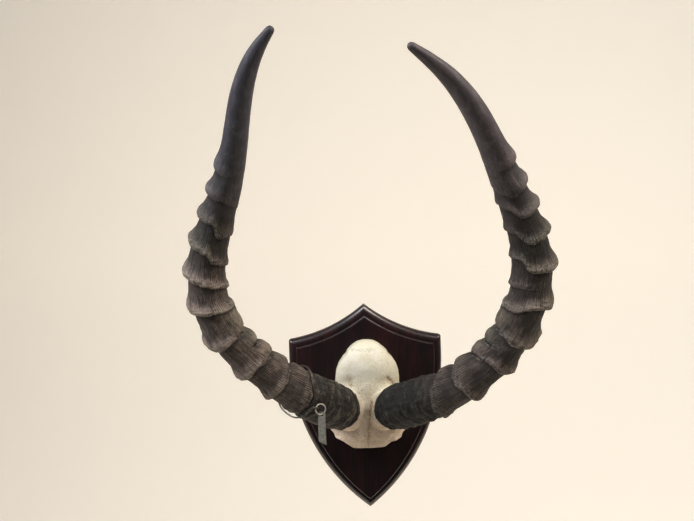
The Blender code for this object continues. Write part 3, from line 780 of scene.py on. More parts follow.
@dataclass(frozen=True)
class PaleSweep(Finish):
    """Matt cream paint on the floor and the sweep behind the object, which glows as if well lit."""

    colour: str = "#efe8db"
    glow: Span = (1.1, 1.8, 0.0, 0.44)  # by the depth in m
    glow_across: Span = (-1.4, 1.2, 0.58, 1.12)

    def paint(self, add: Adder) -> dict[str, object]:
        """Give the paint its plain colour, and the sweep its glow.

        Args:
            add: Adds a node to the material.

        Returns:
            What feeds the shader, by the name of its input.
        """
        across, depth, _ = add("SeparateXYZ", add("TexCoord", out="Object")).node.outputs
        glow = add("MapRange", depth, *self.glow)
        glow = add("Math", glow, add("MapRange", across, *self.glow_across), operation='MULTIPLY')
        return {"Base Color": linear(self.colour), "Emission Color": linear(self.colour),
                "Emission Strength": glow}


@dataclass(frozen=True)
class Piece:
    """What a finished piece is called, stands for and is made of.

    Attributes:
        name: Name of its object.
        nodes: CAD nodes that it replaces.
        slot: Name of its material slot; not used.
        finish: Its finish.
        sharp: Edges that turn by more degrees than this stay sharp.
    """

    name: str
    nodes: tuple[str, ...]
    slot: str
    finish: Finish
    sharp: float = 35

    def place(self, shape: Shape) -> None:
        """Turn a finished shape into the piece's object, at the origin.

        Args:
            shape: The shape in mm, in the frame's axes.
        """
        data = mesh_of(shape, self.name)
        data.transform(Matrix.Scale(MM, 4))
        data.shade_smooth()
        data.set_sharp_from_angle(angle=math.radians(self.sharp))
        data.materials.append(self.finish.material())
        made = linked(self.name, data)
        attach(made, "root")
        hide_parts(*self.nodes)
        triangles = sum(len(face.vertices) - 2 for face in data.polygons)
        log.info("%s: %d triangles, stands for %s", self.name, triangles, ", ".join(self.nodes))


# ---------------------------------------------------------------- horns


@dataclass(frozen=True)
class Ring:
    """One growth ring of a horn.

    Attributes:
        path: The lip as (turn in degrees from the front towards the outer side, mm along).
        heights: How high it stands at the outer side, front, inner side and back, in mm.
        blur: Degrees over which a break in the path runs out.
        reach: Degrees to both sides that the blur looks at.
    """

    path: Places
    heights: tuple[float, float, float, float]
    blur: float = 3.0
    reach: int = 15

    @cached_property
    def table(self) -> Array:
        """Distance along the horn at each whole degree."""
        turns, places = zip(*sorted((turn % 360, place) for turn, place in self.path))
        plain = np.interp(np.arange(360), turns, places, period=360)
        reach = np.arange(-self.reach, self.reach + 1)
        weights = np.exp(-(reach / self.blur) ** 2 / 2)
        return sum(w * np.roll(plain, k) for k, w in zip(reach, weights)) / weights.sum()

    def crest(self, turn: Array) -> Array:
        """Distance along the horn at angles in radians."""
        return np.interp(np.degrees(turn) % 360, np.arange(360), self.table, period=360)

    def height(self, turn: Array) -> Array:
        """Blend the ring's four heights round the horn.

        Args:
            turn: Angles in radians from the front towards the outer side.

        Returns:
            The height at each angle.
        """
        outer, front, inner, back = self.heights
        mean = (outer + front + inner + back) / 4
        lopsided = (front + back - outer - inner) / 4
        swing = (front - back) / 2 * np.cos(turn) + (outer - inner) / 2 * np.sin(turn)
        return np.maximum(0.0, mean + swing + lopsided * np.cos(2 * turn))


@dataclass
class Horn:
    """One horn sheath, grown as rings like stacked cones that open towards the skull.

    Low rings are knobs on the inner side, and high rings bulge on the outer side.
    """

    piece: Piece
    side: Side
    line: Sequence[Triple]  # (across, out, up), from the skull to the tip
    girth: Places  # (mm along, diameter between the rings)
    rings: Sequence[Ring]
    seed: float
    turns: int = 230  # points round the horn
    rim_slant: float = 9.0
    tip_dome: float = 4.0  # mm over which the tip is rounded off
    # Rounded end of the sheath as (mm along from the rim, mm inwards)
    rim: Places = ((0, 4.4), (0.15, 3.2), (0.55, 2.1), (1.2, 1.2), (2.1, 0.55), (3.2, 0.15), (4.6, 0))
    # Lip of a ring, from the neck below it to its crest, as (mm below the crest, part of its height)
    lip: Places = (
        (4.2, 0), (3.2, -0.02), (2.4, -0.03), (1.95, 0.05), (1.78, 0.2), (1.68, 0.4), (1.5, 0.6),
        (1.2, 0.79), (0.8, 0.93), (0.4, 0.985))
    # Painted shade under a lip, as (mm below the crest, part), each a row
    undercut: Sequence[Sequence[float]] = ((1.7, 1.9, 2.4, 3.2, 4.2), (0.0, 0.9, 0.95, 0.4, 0.0))
    neck_loops: int = 14
    end_loops: int = 36
    # Waves of the lips, and the mm that they come forward, where a ring is this high
    crinkles: Sequence[Layer] = ((1.1, 6.0, 3.1), (0.7, 2.3, 7.7))
    crinkle_lead: float = 1.0
    crinkle_height: float = 3.0
    # Part of the spacing after which little of a ring's height is left, on a sharp and a round side
    fall: Pair = (0.2, 0.25)
    hollow: float = 1.7  # how sharply the slope to the tip side is hollowed
    reach_limit: float = 34.0  # mm along that the last ring's slope takes
    covered: float = 1.6  # a ring runs on past the next one where that is lower than this
    turnover: Pair = (158.0, 171.0)  # mm along, where knobs give way to bulges
    knob_start: Pair = (50.0, 72.0)  # mm along
    pinch: float = 3.8  # mm that the creases between the knobs are deeper than the other necks
    sag: float = 6.0  # mm that a knob's crease lies nearer the skull than the ring's lip
    low_ring: float = 1.3
    grain_radius: float = 16.0  # mm; girth on which the grain is laid out
    foot: Pair = (46.0, 74.0)  # mm along, where the wrinkled foot ends
    smoothing: Pair = (205.0, 315.0)  # mm along, where the relief runs out
    # Size of the lips: everywhere, and what a bulge, the upper horn and a knob change
    lip_sizes: tuple[float, float, float, float] = (1.7, 0.7, 0.7, -0.5)
    upper: Pair = (235.0, 320.0)  # mm along
    lip_share: float = 0.6  # of the room between two rings that a lip may take
    neck_spacing: float = 1.15
    end_spacing: float = 1.25
    full_relief: float = 4.6  # mm of lift at which the relief is 1
    detail_relief: float = 0.55  # what a mm of small relief adds
    bare_tip: float = 3.0  # mm without small relief
    # Ring heights at which the painted shade under a lip, the painted shade in a crease, and the worn lips
    # with their painted highlight are full
    shade_height: float = 3.0
    crease_shade_height: float = 2.2
    worn_highlit_height: float = 3.5
    # On a lip and on a knob: where the crease starts, and how far its painted shade reaches, in lip sizes
    crease_start: Pair = (1.7, -0.3)
    crease_reach: Pair = (0.75, -0.2)  # the second is what a knob adds
    # Worn lips with a painted highlight: a band over the crest and a line along the lip's edge
    worn_highlit_band: Pair = (0.5, 4.0)  # strength, and mm that it reaches
    worn_highlit_line: Pair = (-1.3, 0.3)  # place and width, in lip sizes
    lip_roll: Pair = (0.3, 3.2)  # place and width, in mm past the crest
    worn_highlit_along: Pair = (225.0, 300.0)  # mm along, where the worn lips and their painted highlight run out
    flutes: Sequence[Layer] = ((1, 2.1, 0), (0.6, 1.2, 5.3))
    flute_level: float = 0.4
    flute_stretch: Triple = (1, 1, 0.09)
    flute_fade: Pair = (115.0, 170.0)  # mm along
    wrinkles: Sequence[Layer] = ((1, 3.4, 11.0), (0.6, 1.7, 2.0))
    wrinkle_drift: Layer = (3.6, 8.0, 3.3)
    wrinkle_stretch: Triple = (0.36, 0.36, 1)
    lumps: Layer = (0.6, 9.0, 0)
    small_lumps: Layer = (1, 3.6, 1.7)
    rim_groove: Triple = (0.9, 6.5, 1.3)  # depth, mm from the rim, width
    wire_window: float = 1.6  # mm along, in which the wire clears the highest place
    wire_lip: float = 1.2  # mm from a lip at which the wire clears it

    def __post_init__(self) -> None:
        """Work out the centre line and the angles."""
        self.centre = SmoothLine([(x, -out, up) for x, out, up in self.line])
        self.angles = np.linspace(0, 2 * math.pi, self.turns, endpoint=False)

    @cached_property
    def crests(self) -> list[Array]:
        """Distances of the rim, the rings and the tip at the horn's own angles."""
        return [self.crest(k, self.angles) for k in range(len(self.rings) + 2)]

    def directions(self, along: Array) -> tuple[Array, Array, Array]:
        """Find the horn's own directions.

        Args:
            along: Distances along the horn.

        Returns:
            The forward, front and outer directions at each.
        """
        forward = unit(self.centre.at(along + 0.5) - self.centre.at(along - 0.5))
        facing = np.array([0.0, -1.0, 0.0])
        front = unit(facing - (forward @ facing)[..., None] * forward)
        return forward, front, self.side.value * np.cross(forward, front)

    def radius(self, along: Array) -> Array:
        """Radius between the rings, rounded off at the tip.

        Args:
            along: Distances along the horn.

        Returns:
            The radius at each.
        """
        places, sizes = zip(*self.girth)
        short = np.clip(1 - (self.centre.length - along) / self.tip_dome, 0, 1)
        return np.interp(along, places, sizes) / 2 * np.sqrt(1 - short ** 2)

    def surface(self, along: Array, turn: Array, lift: Array) -> Array:
        """Find points round the centre line.

        Args:
            along: Distances along the horn.
            turn: Angles in radians.
            lift: Distance from the centre line.

        Returns:
            The points.
        """
        _, front, outer = self.directions(along)
        spoke = np.cos(turn)[..., None] * front + np.sin(turn)[..., None] * outer
        return self.centre.at(along) + lift[..., None] * spoke

    def crest(self, ring: int, turn: Array) -> Array:
        """Distance of the rim, a ring's lip or the tip at given angles.

        Args:
            ring: 0 for the rim, then the rings from 1, then the tip.
            turn: Angles in radians.

        Returns:
            Millimetres along the horn.
        """
        if ring == 0:
            return -self.rim_slant * np.cos(turn)
        if ring > len(self.rings):
            return np.full_like(turn, self.centre.length)
        place = self.rings[ring - 1].crest(turn)
        spots = self.grain_radius * np.stack(
            (np.cos(turn), np.sin(turn), np.full_like(turn, ring + self.seed)), axis=-1)
        shown = np.minimum(1, self.rings[ring - 1].height(turn) / self.crinkle_height)
        place = place + (noise_at(spots, *self.crinkles) + self.crinkle_lead) * shown
        return place - self.sag * self.roundness(place, turn)[0]

    def roundness(self, crest: Array, turn: Array) -> tuple[Array, Array]:
        """How round a ring is.

        Args:
            crest: Distance of its crest round the horn.
            turn: Angles in radians, in the same shape.

        Returns:
            How much of a knob and how much of a bulge it is, from 0 to 1.
        """
        high = ease(crest, *self.turnover)
        knob = (1 - high) * ease(crest, *self.knob_start) * np.maximum(0, -np.sin(turn)) ** 1.3
        return knob, high * np.maximum(0, np.sin(turn)) ** 2

    def swell(self, along: Array, turn: Array, lip: Array | float = 0.0) -> Array:
        """How far the rings lift the surface, less the creases between the knobs.

        Args:
            along: Distances along the horn.
            turn: Angles in radians, one for each of the last axis.
            lip: Lift of the lip above each place, which may be a little below 0.

        Returns:
            The lift in mm.
        """
        crests = [self.crest(k, turn) for k in range(len(self.rings) + 2)]
        total = np.maximum(lip, 0) ** 3
        for k, ring in enumerate(self.rings, start=1):
            height = ring.height(turn)
            reach = crests[k + 1] - crests[k]
            if k < len(self.rings):
                after = np.clip(1 - self.rings[k].height(turn) / self.covered, 0, 1)
                reach = reach + after * (crests[k + 2] - crests[k + 1])
            else:
                reach = np.minimum(reach, self.reach_limit)
            part = np.clip((along - crests[k]) / reach, 0, 1)
            knob, bulge = self.roundness(crests[k], turn)
            fall = self.fall[0] + (self.fall[1] - self.fall[0]) * bulge
            slope = height * (1 - knob) * np.exp(-(part / fall) ** self.hollow)
            bead = np.sqrt(np.maximum(0, 1 - (2 * part ** 0.8 - 1) ** 2))
            slope = slope + (height + self.pinch) * knob * bead
            total = total + np.where(along >= crests[k], slope, 0) ** 3
        return np.cbrt(total) + np.minimum(lip, 0) - self.sunk(along, turn, crests)

    def sunk(self, along: Array, turn: Array, crests: Sequence[Array]) -> Array:
        """How far the surface lies below the other necks, between the knobs.

        Args:
            along: Distances along the horn.
            turn: Angles in radians.
            crests: Distances of the rim, the rings and the tip at these angles.

        Returns:
            The depth in mm.
        """
        knobs = [0 * turn] + [self.roundness(crest, turn)[0] for crest in crests[1:-1]] + [0 * turn]
        depth = np.zeros_like(along)
        for k in range(len(crests) - 1):
            part = (along - crests[k]) / (crests[k + 1] - crests[k])
            value = knobs[k] + (knobs[k + 1] - knobs[k]) * ease(part, 0.6, 1.0)
            depth = np.where((part >= 0) & (part < 1), value, depth)
        return self.pinch * depth

    def above(self, along: float, turn: float, clear: float) -> Array:
        """A point clear of the highest surface near it, where a stiff wire would pass.

        Args:
            along: Distance along the horn.
            turn: Angle in radians.
            clear: Distance that it keeps.

        Returns:
            The point.
        """
        offsets = np.linspace(-self.wire_window, self.wire_window, 7)
        turns = np.full_like(offsets, turn)
        rises = self.swell(along + offsets, turns)
        for k, ring in enumerate(self.rings, start=1):  # just under a lip the wire may touch it
            near = np.abs(self.crest(k, turns) - along) < self.wire_lip
            rises = np.maximum(rises, np.where(near, ring.height(turns), 0))
        place = np.array([along])
        reach = self.radius(place) + rises.max() + clear
        return self.surface(place, turns[:1], reach)[0]

    def lip_size(self, ring: int) -> Array:
        """How many times its listed depth a lip takes: abrupt in front, rounder at the sides.

        Args:
            ring: Number of the ring, from 1.

        Returns:
            The size round the horn.
        """
        crest = self.crests[ring]
        low = 1 - ease(np.array(max(self.rings[ring - 1].heights)), self.low_ring, 2 * self.low_ring)
        knob, bulge = self.roundness(crest, self.angles)
        plain, on_bulge, on_upper, on_knob = self.lip_sizes
        size = plain + on_bulge * bulge + on_upper * ease(crest, *self.upper) + low + on_knob * knob
        return np.minimum(size, self.lip_share * (crest - self.crests[ring - 1]) / self.lip[0][0])

    def rows(self) -> tuple[Array, ...]:
        """Lay out the loops from the rim to the tip.

        Returns:
            Four arrays of (loop, place round it): mm along, lift of the lip, mm that the
            surface is drawn in at the rim, and the painted shade under a lip, 0 to 1.
        """
        still = np.zeros(self.turns)
        start = self.crests[0]
        found = [(start + step, still, still + inwards, still) for step, inwards in self.rim]
        start = start + self.rim[-1][0]
        for k, ring in enumerate(self.rings, start=1):
            crest = self.crests[k]
            size = self.lip_size(k)
            height = ring.height(self.angles) * (1 - self.roundness(crest, self.angles)[0])
            foot = crest - self.lip[0][0] * size
            for step in range(self.neck_loops):
                part = (step / self.neck_loops) ** self.neck_spacing
                found.append((start + part * (foot - start), still, still, still))
            # Painted shade under the lip, stronger on a higher ring
            dark = np.clip(height / self.shade_height, 0, 1)
            for below, part in self.lip:
                shade = dark * np.interp(below, *self.undercut)
                found.append((crest - below * size, height * part, still, shade))
            start = crest
        for step in range(self.end_loops + 1):
            part = 1 - (1 - step / self.end_loops) ** self.end_spacing
            found.append((start + part * (self.crests[-1] - start), still, still, still))
        return tuple(np.array(values) for values in zip(*found))

    def build(self) -> None:
        """Model the sheath and place it."""
        along, lip, inwards, shade = self.rows()
        turn = np.broadcast_to(self.angles, along.shape)
        lift = self.swell(along, self.angles, lip)
        grain = np.stack((self.grain_radius * np.cos(turn), self.grain_radius * np.sin(turn), along), -1)
        relief = np.clip(lift / self.full_relief, 0, 1)
        # Painted shade in the creases and under the lips, and worn lips with a painted highlight
        crease_shade, worn_and_highlit, near = self.wear(along, shade)
        detail = self.detail(grain.reshape(-1, 3), relief.ravel(), near.ravel()).reshape(along.shape)
        reach = self.radius(along) + lift - inwards
        bare = along > self.centre.length - self.bare_tip
        reach = np.where(bare, reach, reach + detail * (inwards < 1))
        # Relief, which the material turns into painted shade in the hollows and painted light on the
        # crests; painted shade in the creases; worn lips with a painted highlight
        wear = np.stack((relief + self.detail_relief * detail, crease_shade, worn_and_highlit), -1)
        self.piece.place(rolled(self.surface(along, turn, reach), point_end=True,
                                marks={"grain": grain, "wear": wear}))

    def wear(self, along: Array, shade: Array) -> tuple[Array, Array, Array]:
        """Work out the painted shade in the creases and under the lips, and the worn lips with their
        painted highlight.

        Args:
            along: Distances of the loops.
            shade: Painted shade under a lip.

        Returns:
            How strong the painted shade in the creases is, how worn and highlit the lips are, and how
            near the roll of a lip is, each from 0 to 1, as (loop, place round it).
        """
        crease_shade, worn_and_highlit, near = shade, np.zeros_like(along), np.zeros_like(along)
        (on_lip, on_knob), (fade, knob_fade) = self.crease_start, self.crease_reach
        (strength, width), (place, line_width) = self.worn_highlit_band, self.worn_highlit_line
        for k, ring in enumerate(self.rings, start=1):
            size = self.lip_size(k)
            height = ring.height(self.angles)
            knob = self.roundness(self.crests[k], self.angles)[0]
            past = along - self.crests[k]
            below = -past / size - (on_lip * (1 - knob) + on_knob * knob)
            crease = np.exp(-np.maximum(below, 0) / (fade + knob_fade * knob)) * (below > 0)
            # Painted shade in the crease under the lip
            crease_shade = np.maximum(crease_shade, np.clip(height / self.crease_shade_height, 0, 1) * crease)
            band = np.where(past >= 0, bell(past, 0, width), np.exp(np.minimum(past, 0) / size))
            line = bell(past, place * size, line_width * size)
            depth = np.clip(height / self.worn_highlit_height, 0, 1)
            # Worn lips with a painted highlight
            worn_and_highlit = np.maximum(worn_and_highlit, depth * np.maximum(strength * band, line))
            near = np.maximum(near, depth * bell(past, *self.lip_roll))
        worn_and_highlit = worn_and_highlit * (1 - ease(along, *self.worn_highlit_along)) * ease(along, *self.foot)
        return crease_shade, worn_and_highlit, near

    def detail(self, grain: Array, relief: Array, near: Array) -> Array:
        """Small relief: flutes along the horn, crinkles across its foot and lips, and soft lumps.

        Args:
            grain: Points on the grain's own cylinder, in mm.
            relief: Part of a ring's height at each.
            near: How near each is to the roll of a lip.

        Returns:
            Millimetres outwards.
        """
        along = grain[:, 2]
        smooth = ease(along, *self.smoothing)
        foot = 1 - ease(along, *self.foot)
        stretched = grain * self.flute_stretch + self.seed
        flutes = sum(np.abs(noise_at(stretched, layer)) for layer in self.flutes) - self.flute_level
        flute_height = (0.5 + 0.3 * relief) * (1 - 0.95 * smooth) * (1 - 0.7 * foot)
        flute_height *= 1 - 0.35 * ease(along, *self.flute_fade)
        wandering = grain * self.wrinkle_stretch + self.seed
        wandering[:, 2] += noise_at(grain, self.wrinkle_drift)
        growth = noise_at(wandering, *self.wrinkles)
        growth_height = 1.05 * foot + (0.15 + 0.75 * near) * (1 - foot) * (1 - smooth)
        lumps = noise_at(grain + self.seed, self.lumps)
        lumps += (0.35 + 0.7 * foot) * noise_at(grain, self.small_lumps) * (1 - smooth)
        lump_height = 0.9 * (1 - 0.75 * smooth)
        rim = self.crest(0, np.arctan2(grain[:, 1], grain[:, 0]))
        deep, place, width = self.rim_groove
        groove = deep * bell(along - rim, place, width)
        return flutes * flute_height + growth * growth_height + lumps * lump_height - groove


# ---------------------------------------------------------------- skull cap


@dataclass
class SkullCap:
    """The sawn top of the skull, with the two cores that carry the horns."""

    piece: Piece
    horns: Sequence[Horn]
    outline: Places = (
        (2, 66.6), (8, 66), (13, 63.2), (17, 59.6), (20.6, 56.4), (21.8, 53.4), (25.5, 49.6),
        (29, 44), (31.2, 37.5), (31.9, 31), (31.8, 22), (32.5, 12), (35, 2), (37.8, -8),
        (38.7, -16), (38.2, -21.6), (33.4, -24.6), (32.2, -29.4), (27, -32.4), (22, -33),
        (15.5, -37.9), (12, -38.2), (-13, -38), (-15.5, -37.4), (-24.6, -31), (-32.4, -27.4),
        (-33.4, -22.9), (-39.2, -17.4), (-38.6, -9), (-35.5, 3), (-32.5, 13), (-31, 22),
        (-30, 31), (-29.3, 38), (-26.4, 45.6), (-21.6, 52.4), (-18.6, 55), (-17.6, 58),
        (-13, 62.4), (-8, 65.4), (-3, 66.6))
    centre: Pair = (0.8, 12.0)
    outline_points: int = 160
    # Sizes of the loops from the outline to the middle of the face
    face_loops: Sequence[float] = (0.975, 0.93, 0.86, 0.78, 0.69, 0.6, 0.5, 0.4, 0.3, 0.2, 0.1, 0.02)
    # Swellings of its face, whose strength is how far they stand out of the shield
    swellings: Spots = ((1, 38, 35, 31, 26.5), (0, -2, 43, 36, 32), (0, -24, 40, 24, 22))
    blend: float = 4.5
    wall: float = 9.0
    edge: float = 0.75
    back: float = 18.3  # mm from the wall to its sawn face
    pilots: Sequence[float] = (34.0, -20.0)
    pilot_size: Pair = (4.2, 30.3)  # diameter, and mm from the wall to its end
    core_inset: float = 2.2
    core_length: float = 20.0
    core_loops: Places = ((0, 1.02), (0.5, 1.0), (0.8, 1.0), (1, 1.0))  # (part of its length, size)
    voxel: float = 0.62
    roughness: Sequence[Layer] = ((0.35, 13.0, 0), (0.16, 4.5, 4.0), (0.1, 1.9, 9.0))
    # Hollows, whose strength is their depth in mm
    hollows: Spots = (
        (-17, 29, 4, 5, 0.4), (20.6, 30, 1.7, 1.7, 0.5), (22.8, 27.3, 1.7, 1.7, 0.6),
        (25.2, 24.6, 1.7, 1.7, 0.5), (0, 58, 16, 0.9, 0.2), (0, 12, 13, 9, 1.6),
        (-30, -25.5, 3.5, 1.6, 1.3), (29, -28, 3.5, 1.6, 1.3), (-20.5, 54.8, 2.4, 1.3, 1.1),
        (22.8, 54.2, 2.4, 1.3, 1.1), (2.4, 8.2, 1.0, 1.2, 0.9), (3.4, -12, 0.9, 1.1, 0.7))
    # Stained patches; the wide one between the horns, at (0, 15), is partly staining and partly painted
    # shade between the horns.
    stains_and_shade: Spots = (
        (-17, 30, 3.8, 5.0, 0.75), (-15.4, 24.5, 2.2, 2.0, 1.0), (-19.5, 28, 5.5, 6.0, 0.45),
        (20.6, 30.0, 2.2, 2.2, 1.0), (22.8, 27.3, 2.3, 2.3, 1.0), (25.2, 24.6, 2.2, 2.2, 1.0),
        (14, 28, 5.5, 3.5, 0.35), (2.7, 8.0, 3.6, 6.5, 0.95), (1.2, 0.0, 4.0, 8.0, 0.85),
        (0.8, -10, 3.2, 8.0, 0.75), (0, -22, 2.4, 9.0, 0.5), (-27, -18, 3.2, 2.4, 0.5),
        (25, -21.5, 3.4, 2.2, 0.55), (0, 15, 15.0, 9.0, 0.42))
    # Seams of the skull as (strength, (across, up) points)
    seams: Sequence[tuple[float, Places]] = (
        (0.5, ((-14.5, 60.5), (-13.2, 57.2), (-11.6, 58.8), (-10, 56.9), (-7.5, 58), (-5, 56.8),
               (-2, 57.8), (0, 56.4), (2, 58.4), (3.5, 55.8), (5, 58.4), (7, 56.6), (9, 57.6))),
        (1.0, ((3.2, 11), (1.4, 7), (2.6, 3.5), (1.2, 0), (2.2, -4), (0.4, -8), (1.4, -13),
               (-0.6, -18), (0.3, -24), (-0.9, -30), (-0.3, -38))),
        (0.8, ((2.0, 5.4), (4.5, 5.9), (7.5, 5.2))),
        (0.6, ((20.4, 30.6), (22.6, 28.0), (24.6, 25.6), (26.2, 23.2))))
    seam_width: float = 0.55
    seam_depth: float = 0.45
    seam_colour: float = 0.75
    seam_wobble: Layer = (0.7, 2.2, 6.0)
    seam_breaks: Layer = (1.1, 2.0, 13.0)
    seam_level: float = 0.75
    plain_edge: float = 1.5  # mm in front of the sawn face that stay plain
    smoothings: int = 3
    side_shade_strength: float = 0.6  # strength of the painted shade on its sides

    def height(self, across: Array, up: Array) -> Array:
        """How far the face stands out of its sawn back.

        Args:
            across: Places across.
            up: Places up.

        Returns:
            The height at each place.
        """
        total = np.full_like(across, self.wall ** self.blend)
        for x, z, half_width, half_height, reach in self.swellings:
            inside = 1 - ((across - x) / half_width) ** 2 - ((up - z) / half_height) ** 2
            total = total + (reach * np.sqrt(np.maximum(0, inside))) ** self.blend
        return total ** (1 / self.blend)

    def shell(self) -> Shape:
        """Loft the cap from its sawn outline to the middle of its face.

        Returns:
            The closed cap.
        """
        corners = np.array((*self.outline, self.outline[0]))
        places = np.concatenate(((0,), np.cumsum(np.linalg.norm(np.diff(corners, axis=0), axis=1))))
        steps = np.linspace(0, places[-1], self.outline_points, endpoint=False)
        outline = np.stack([np.interp(steps, places, corners[:, k]) for k in (0, 1)], -1)
        centre = np.array(self.centre)
        parts = [(1.0, self.edge * k / 5) for k in range(6)] + [(part, 1.0) for part in self.face_loops]
        loops = []
        for part, rise in parts:
            spot = centre + part * (outline - centre)
            out = self.back + rise * self.height(spot[:, 0], spot[:, 1])
            loops.append(np.stack((spot[:, 0], -out, spot[:, 1]), -1))
        return rolled(np.array(loops), point_end=True)

    def core(self, horn: Horn) -> Shape:
        """Model the bony core that ends just under a horn's rim.

        Args:
            horn: The horn that it carries.

        Returns:
            The closed core.
        """
        turn = horn.angles[::4]
        along = horn.crest(0, turn)
        drawn = horn.directions(np.array([0.0]))[0]
        top = horn.surface(along, turn, horn.radius(along) - self.core_inset) - drawn * GAP * 1.2
        middle = top.mean(axis=0)
        loops = [middle + (top - middle) * size - drawn * self.core_length * (1 - part)
                 for part, size in self.core_loops]
        return rolled(np.array(loops))

    def build(self) -> None:
        """Join the cores on, drill the cap, and give its surface its small relief."""
        cores = [passing(self.core(horn)) for horn in self.horns]
        drills = [drill(*self.pilot_size, 0, up, ROUND_STEPS) for up in self.pilots]
        shape = combined(passing(self.shell()), cores, drills, self.voxel)
        for _ in range(self.smoothings):
            bmesh.ops.smooth_vert(shape, verts=shape.verts, factor=0.5, use_axis_x=True,
                                  use_axis_y=True, use_axis_z=True)
        self.weather_and_shade(shape)
        self.piece.place(shape)

    def weather_and_shade(self, shape: Shape) -> None:
        """Press in hollows and seams, roughen the face, and mark its stained patches, the painted shade
        between the horns and the painted shade on its sides.

        Args:
            shape: The remade cap, which is changed.
        """
        shape.normal_update()
        points = np.array([vert.co for vert in shape.verts])
        normals = np.array([vert.normal for vert in shape.verts])
        across, up = points[:, 0], points[:, 2]
        facing = np.clip(-normals[:, 1] * 2, 0, 1)
        push = noise_at(points, *self.roughness)
        stain_and_shade = np.zeros(len(points))
        for spots, sunk in ((self.hollows, True), (self.stains_and_shade, False)):
            for x, z, half_width, half_height, strength in spots:
                near = strength * facing * bell(across, x, half_width) * bell(up, z, half_height)
                push, stain_and_shade = (push - near, stain_and_shade) if sunk else (push, np.maximum(stain_and_shade, near))
        wobble = noise_at(points, self.seam_wobble)
        seam = np.zeros(len(points))
        for strength, line in self.seams:
            for start, end in zip(line, line[1:]):
                run = np.subtract(end, start)
                spot = points[:, (0, 2)] + wobble[:, None] - start
                part = np.clip(spot @ run / (run @ run), 0, 1)
                gap = np.linalg.norm(spot - part[:, None] * run, axis=1)
                seam = np.maximum(seam, strength * bell(gap, 0, self.seam_width) * facing)
        seam *= np.clip(self.seam_level + noise_at(points, self.seam_breaks), 0, 1)
        push -= self.seam_depth * seam
        front = points[:, 1] < -(self.back + self.plain_edge)
        moved = points + normals * (push * front)[:, None]
        # Painted shade on the sides, where the face turns away from the front
        side_shade = self.side_shade_strength * np.clip(1 + normals[:, 1], 0, 1)
        marks = shape.verts.layers.float_vector.new("marks")
        for vert, place, *mark in zip(shape.verts, moved, stain_and_shade, self.seam_colour * seam, side_shade):
            vert.co = place
            vert[marks] = mark


# ---------------------------------------------------------------- shield


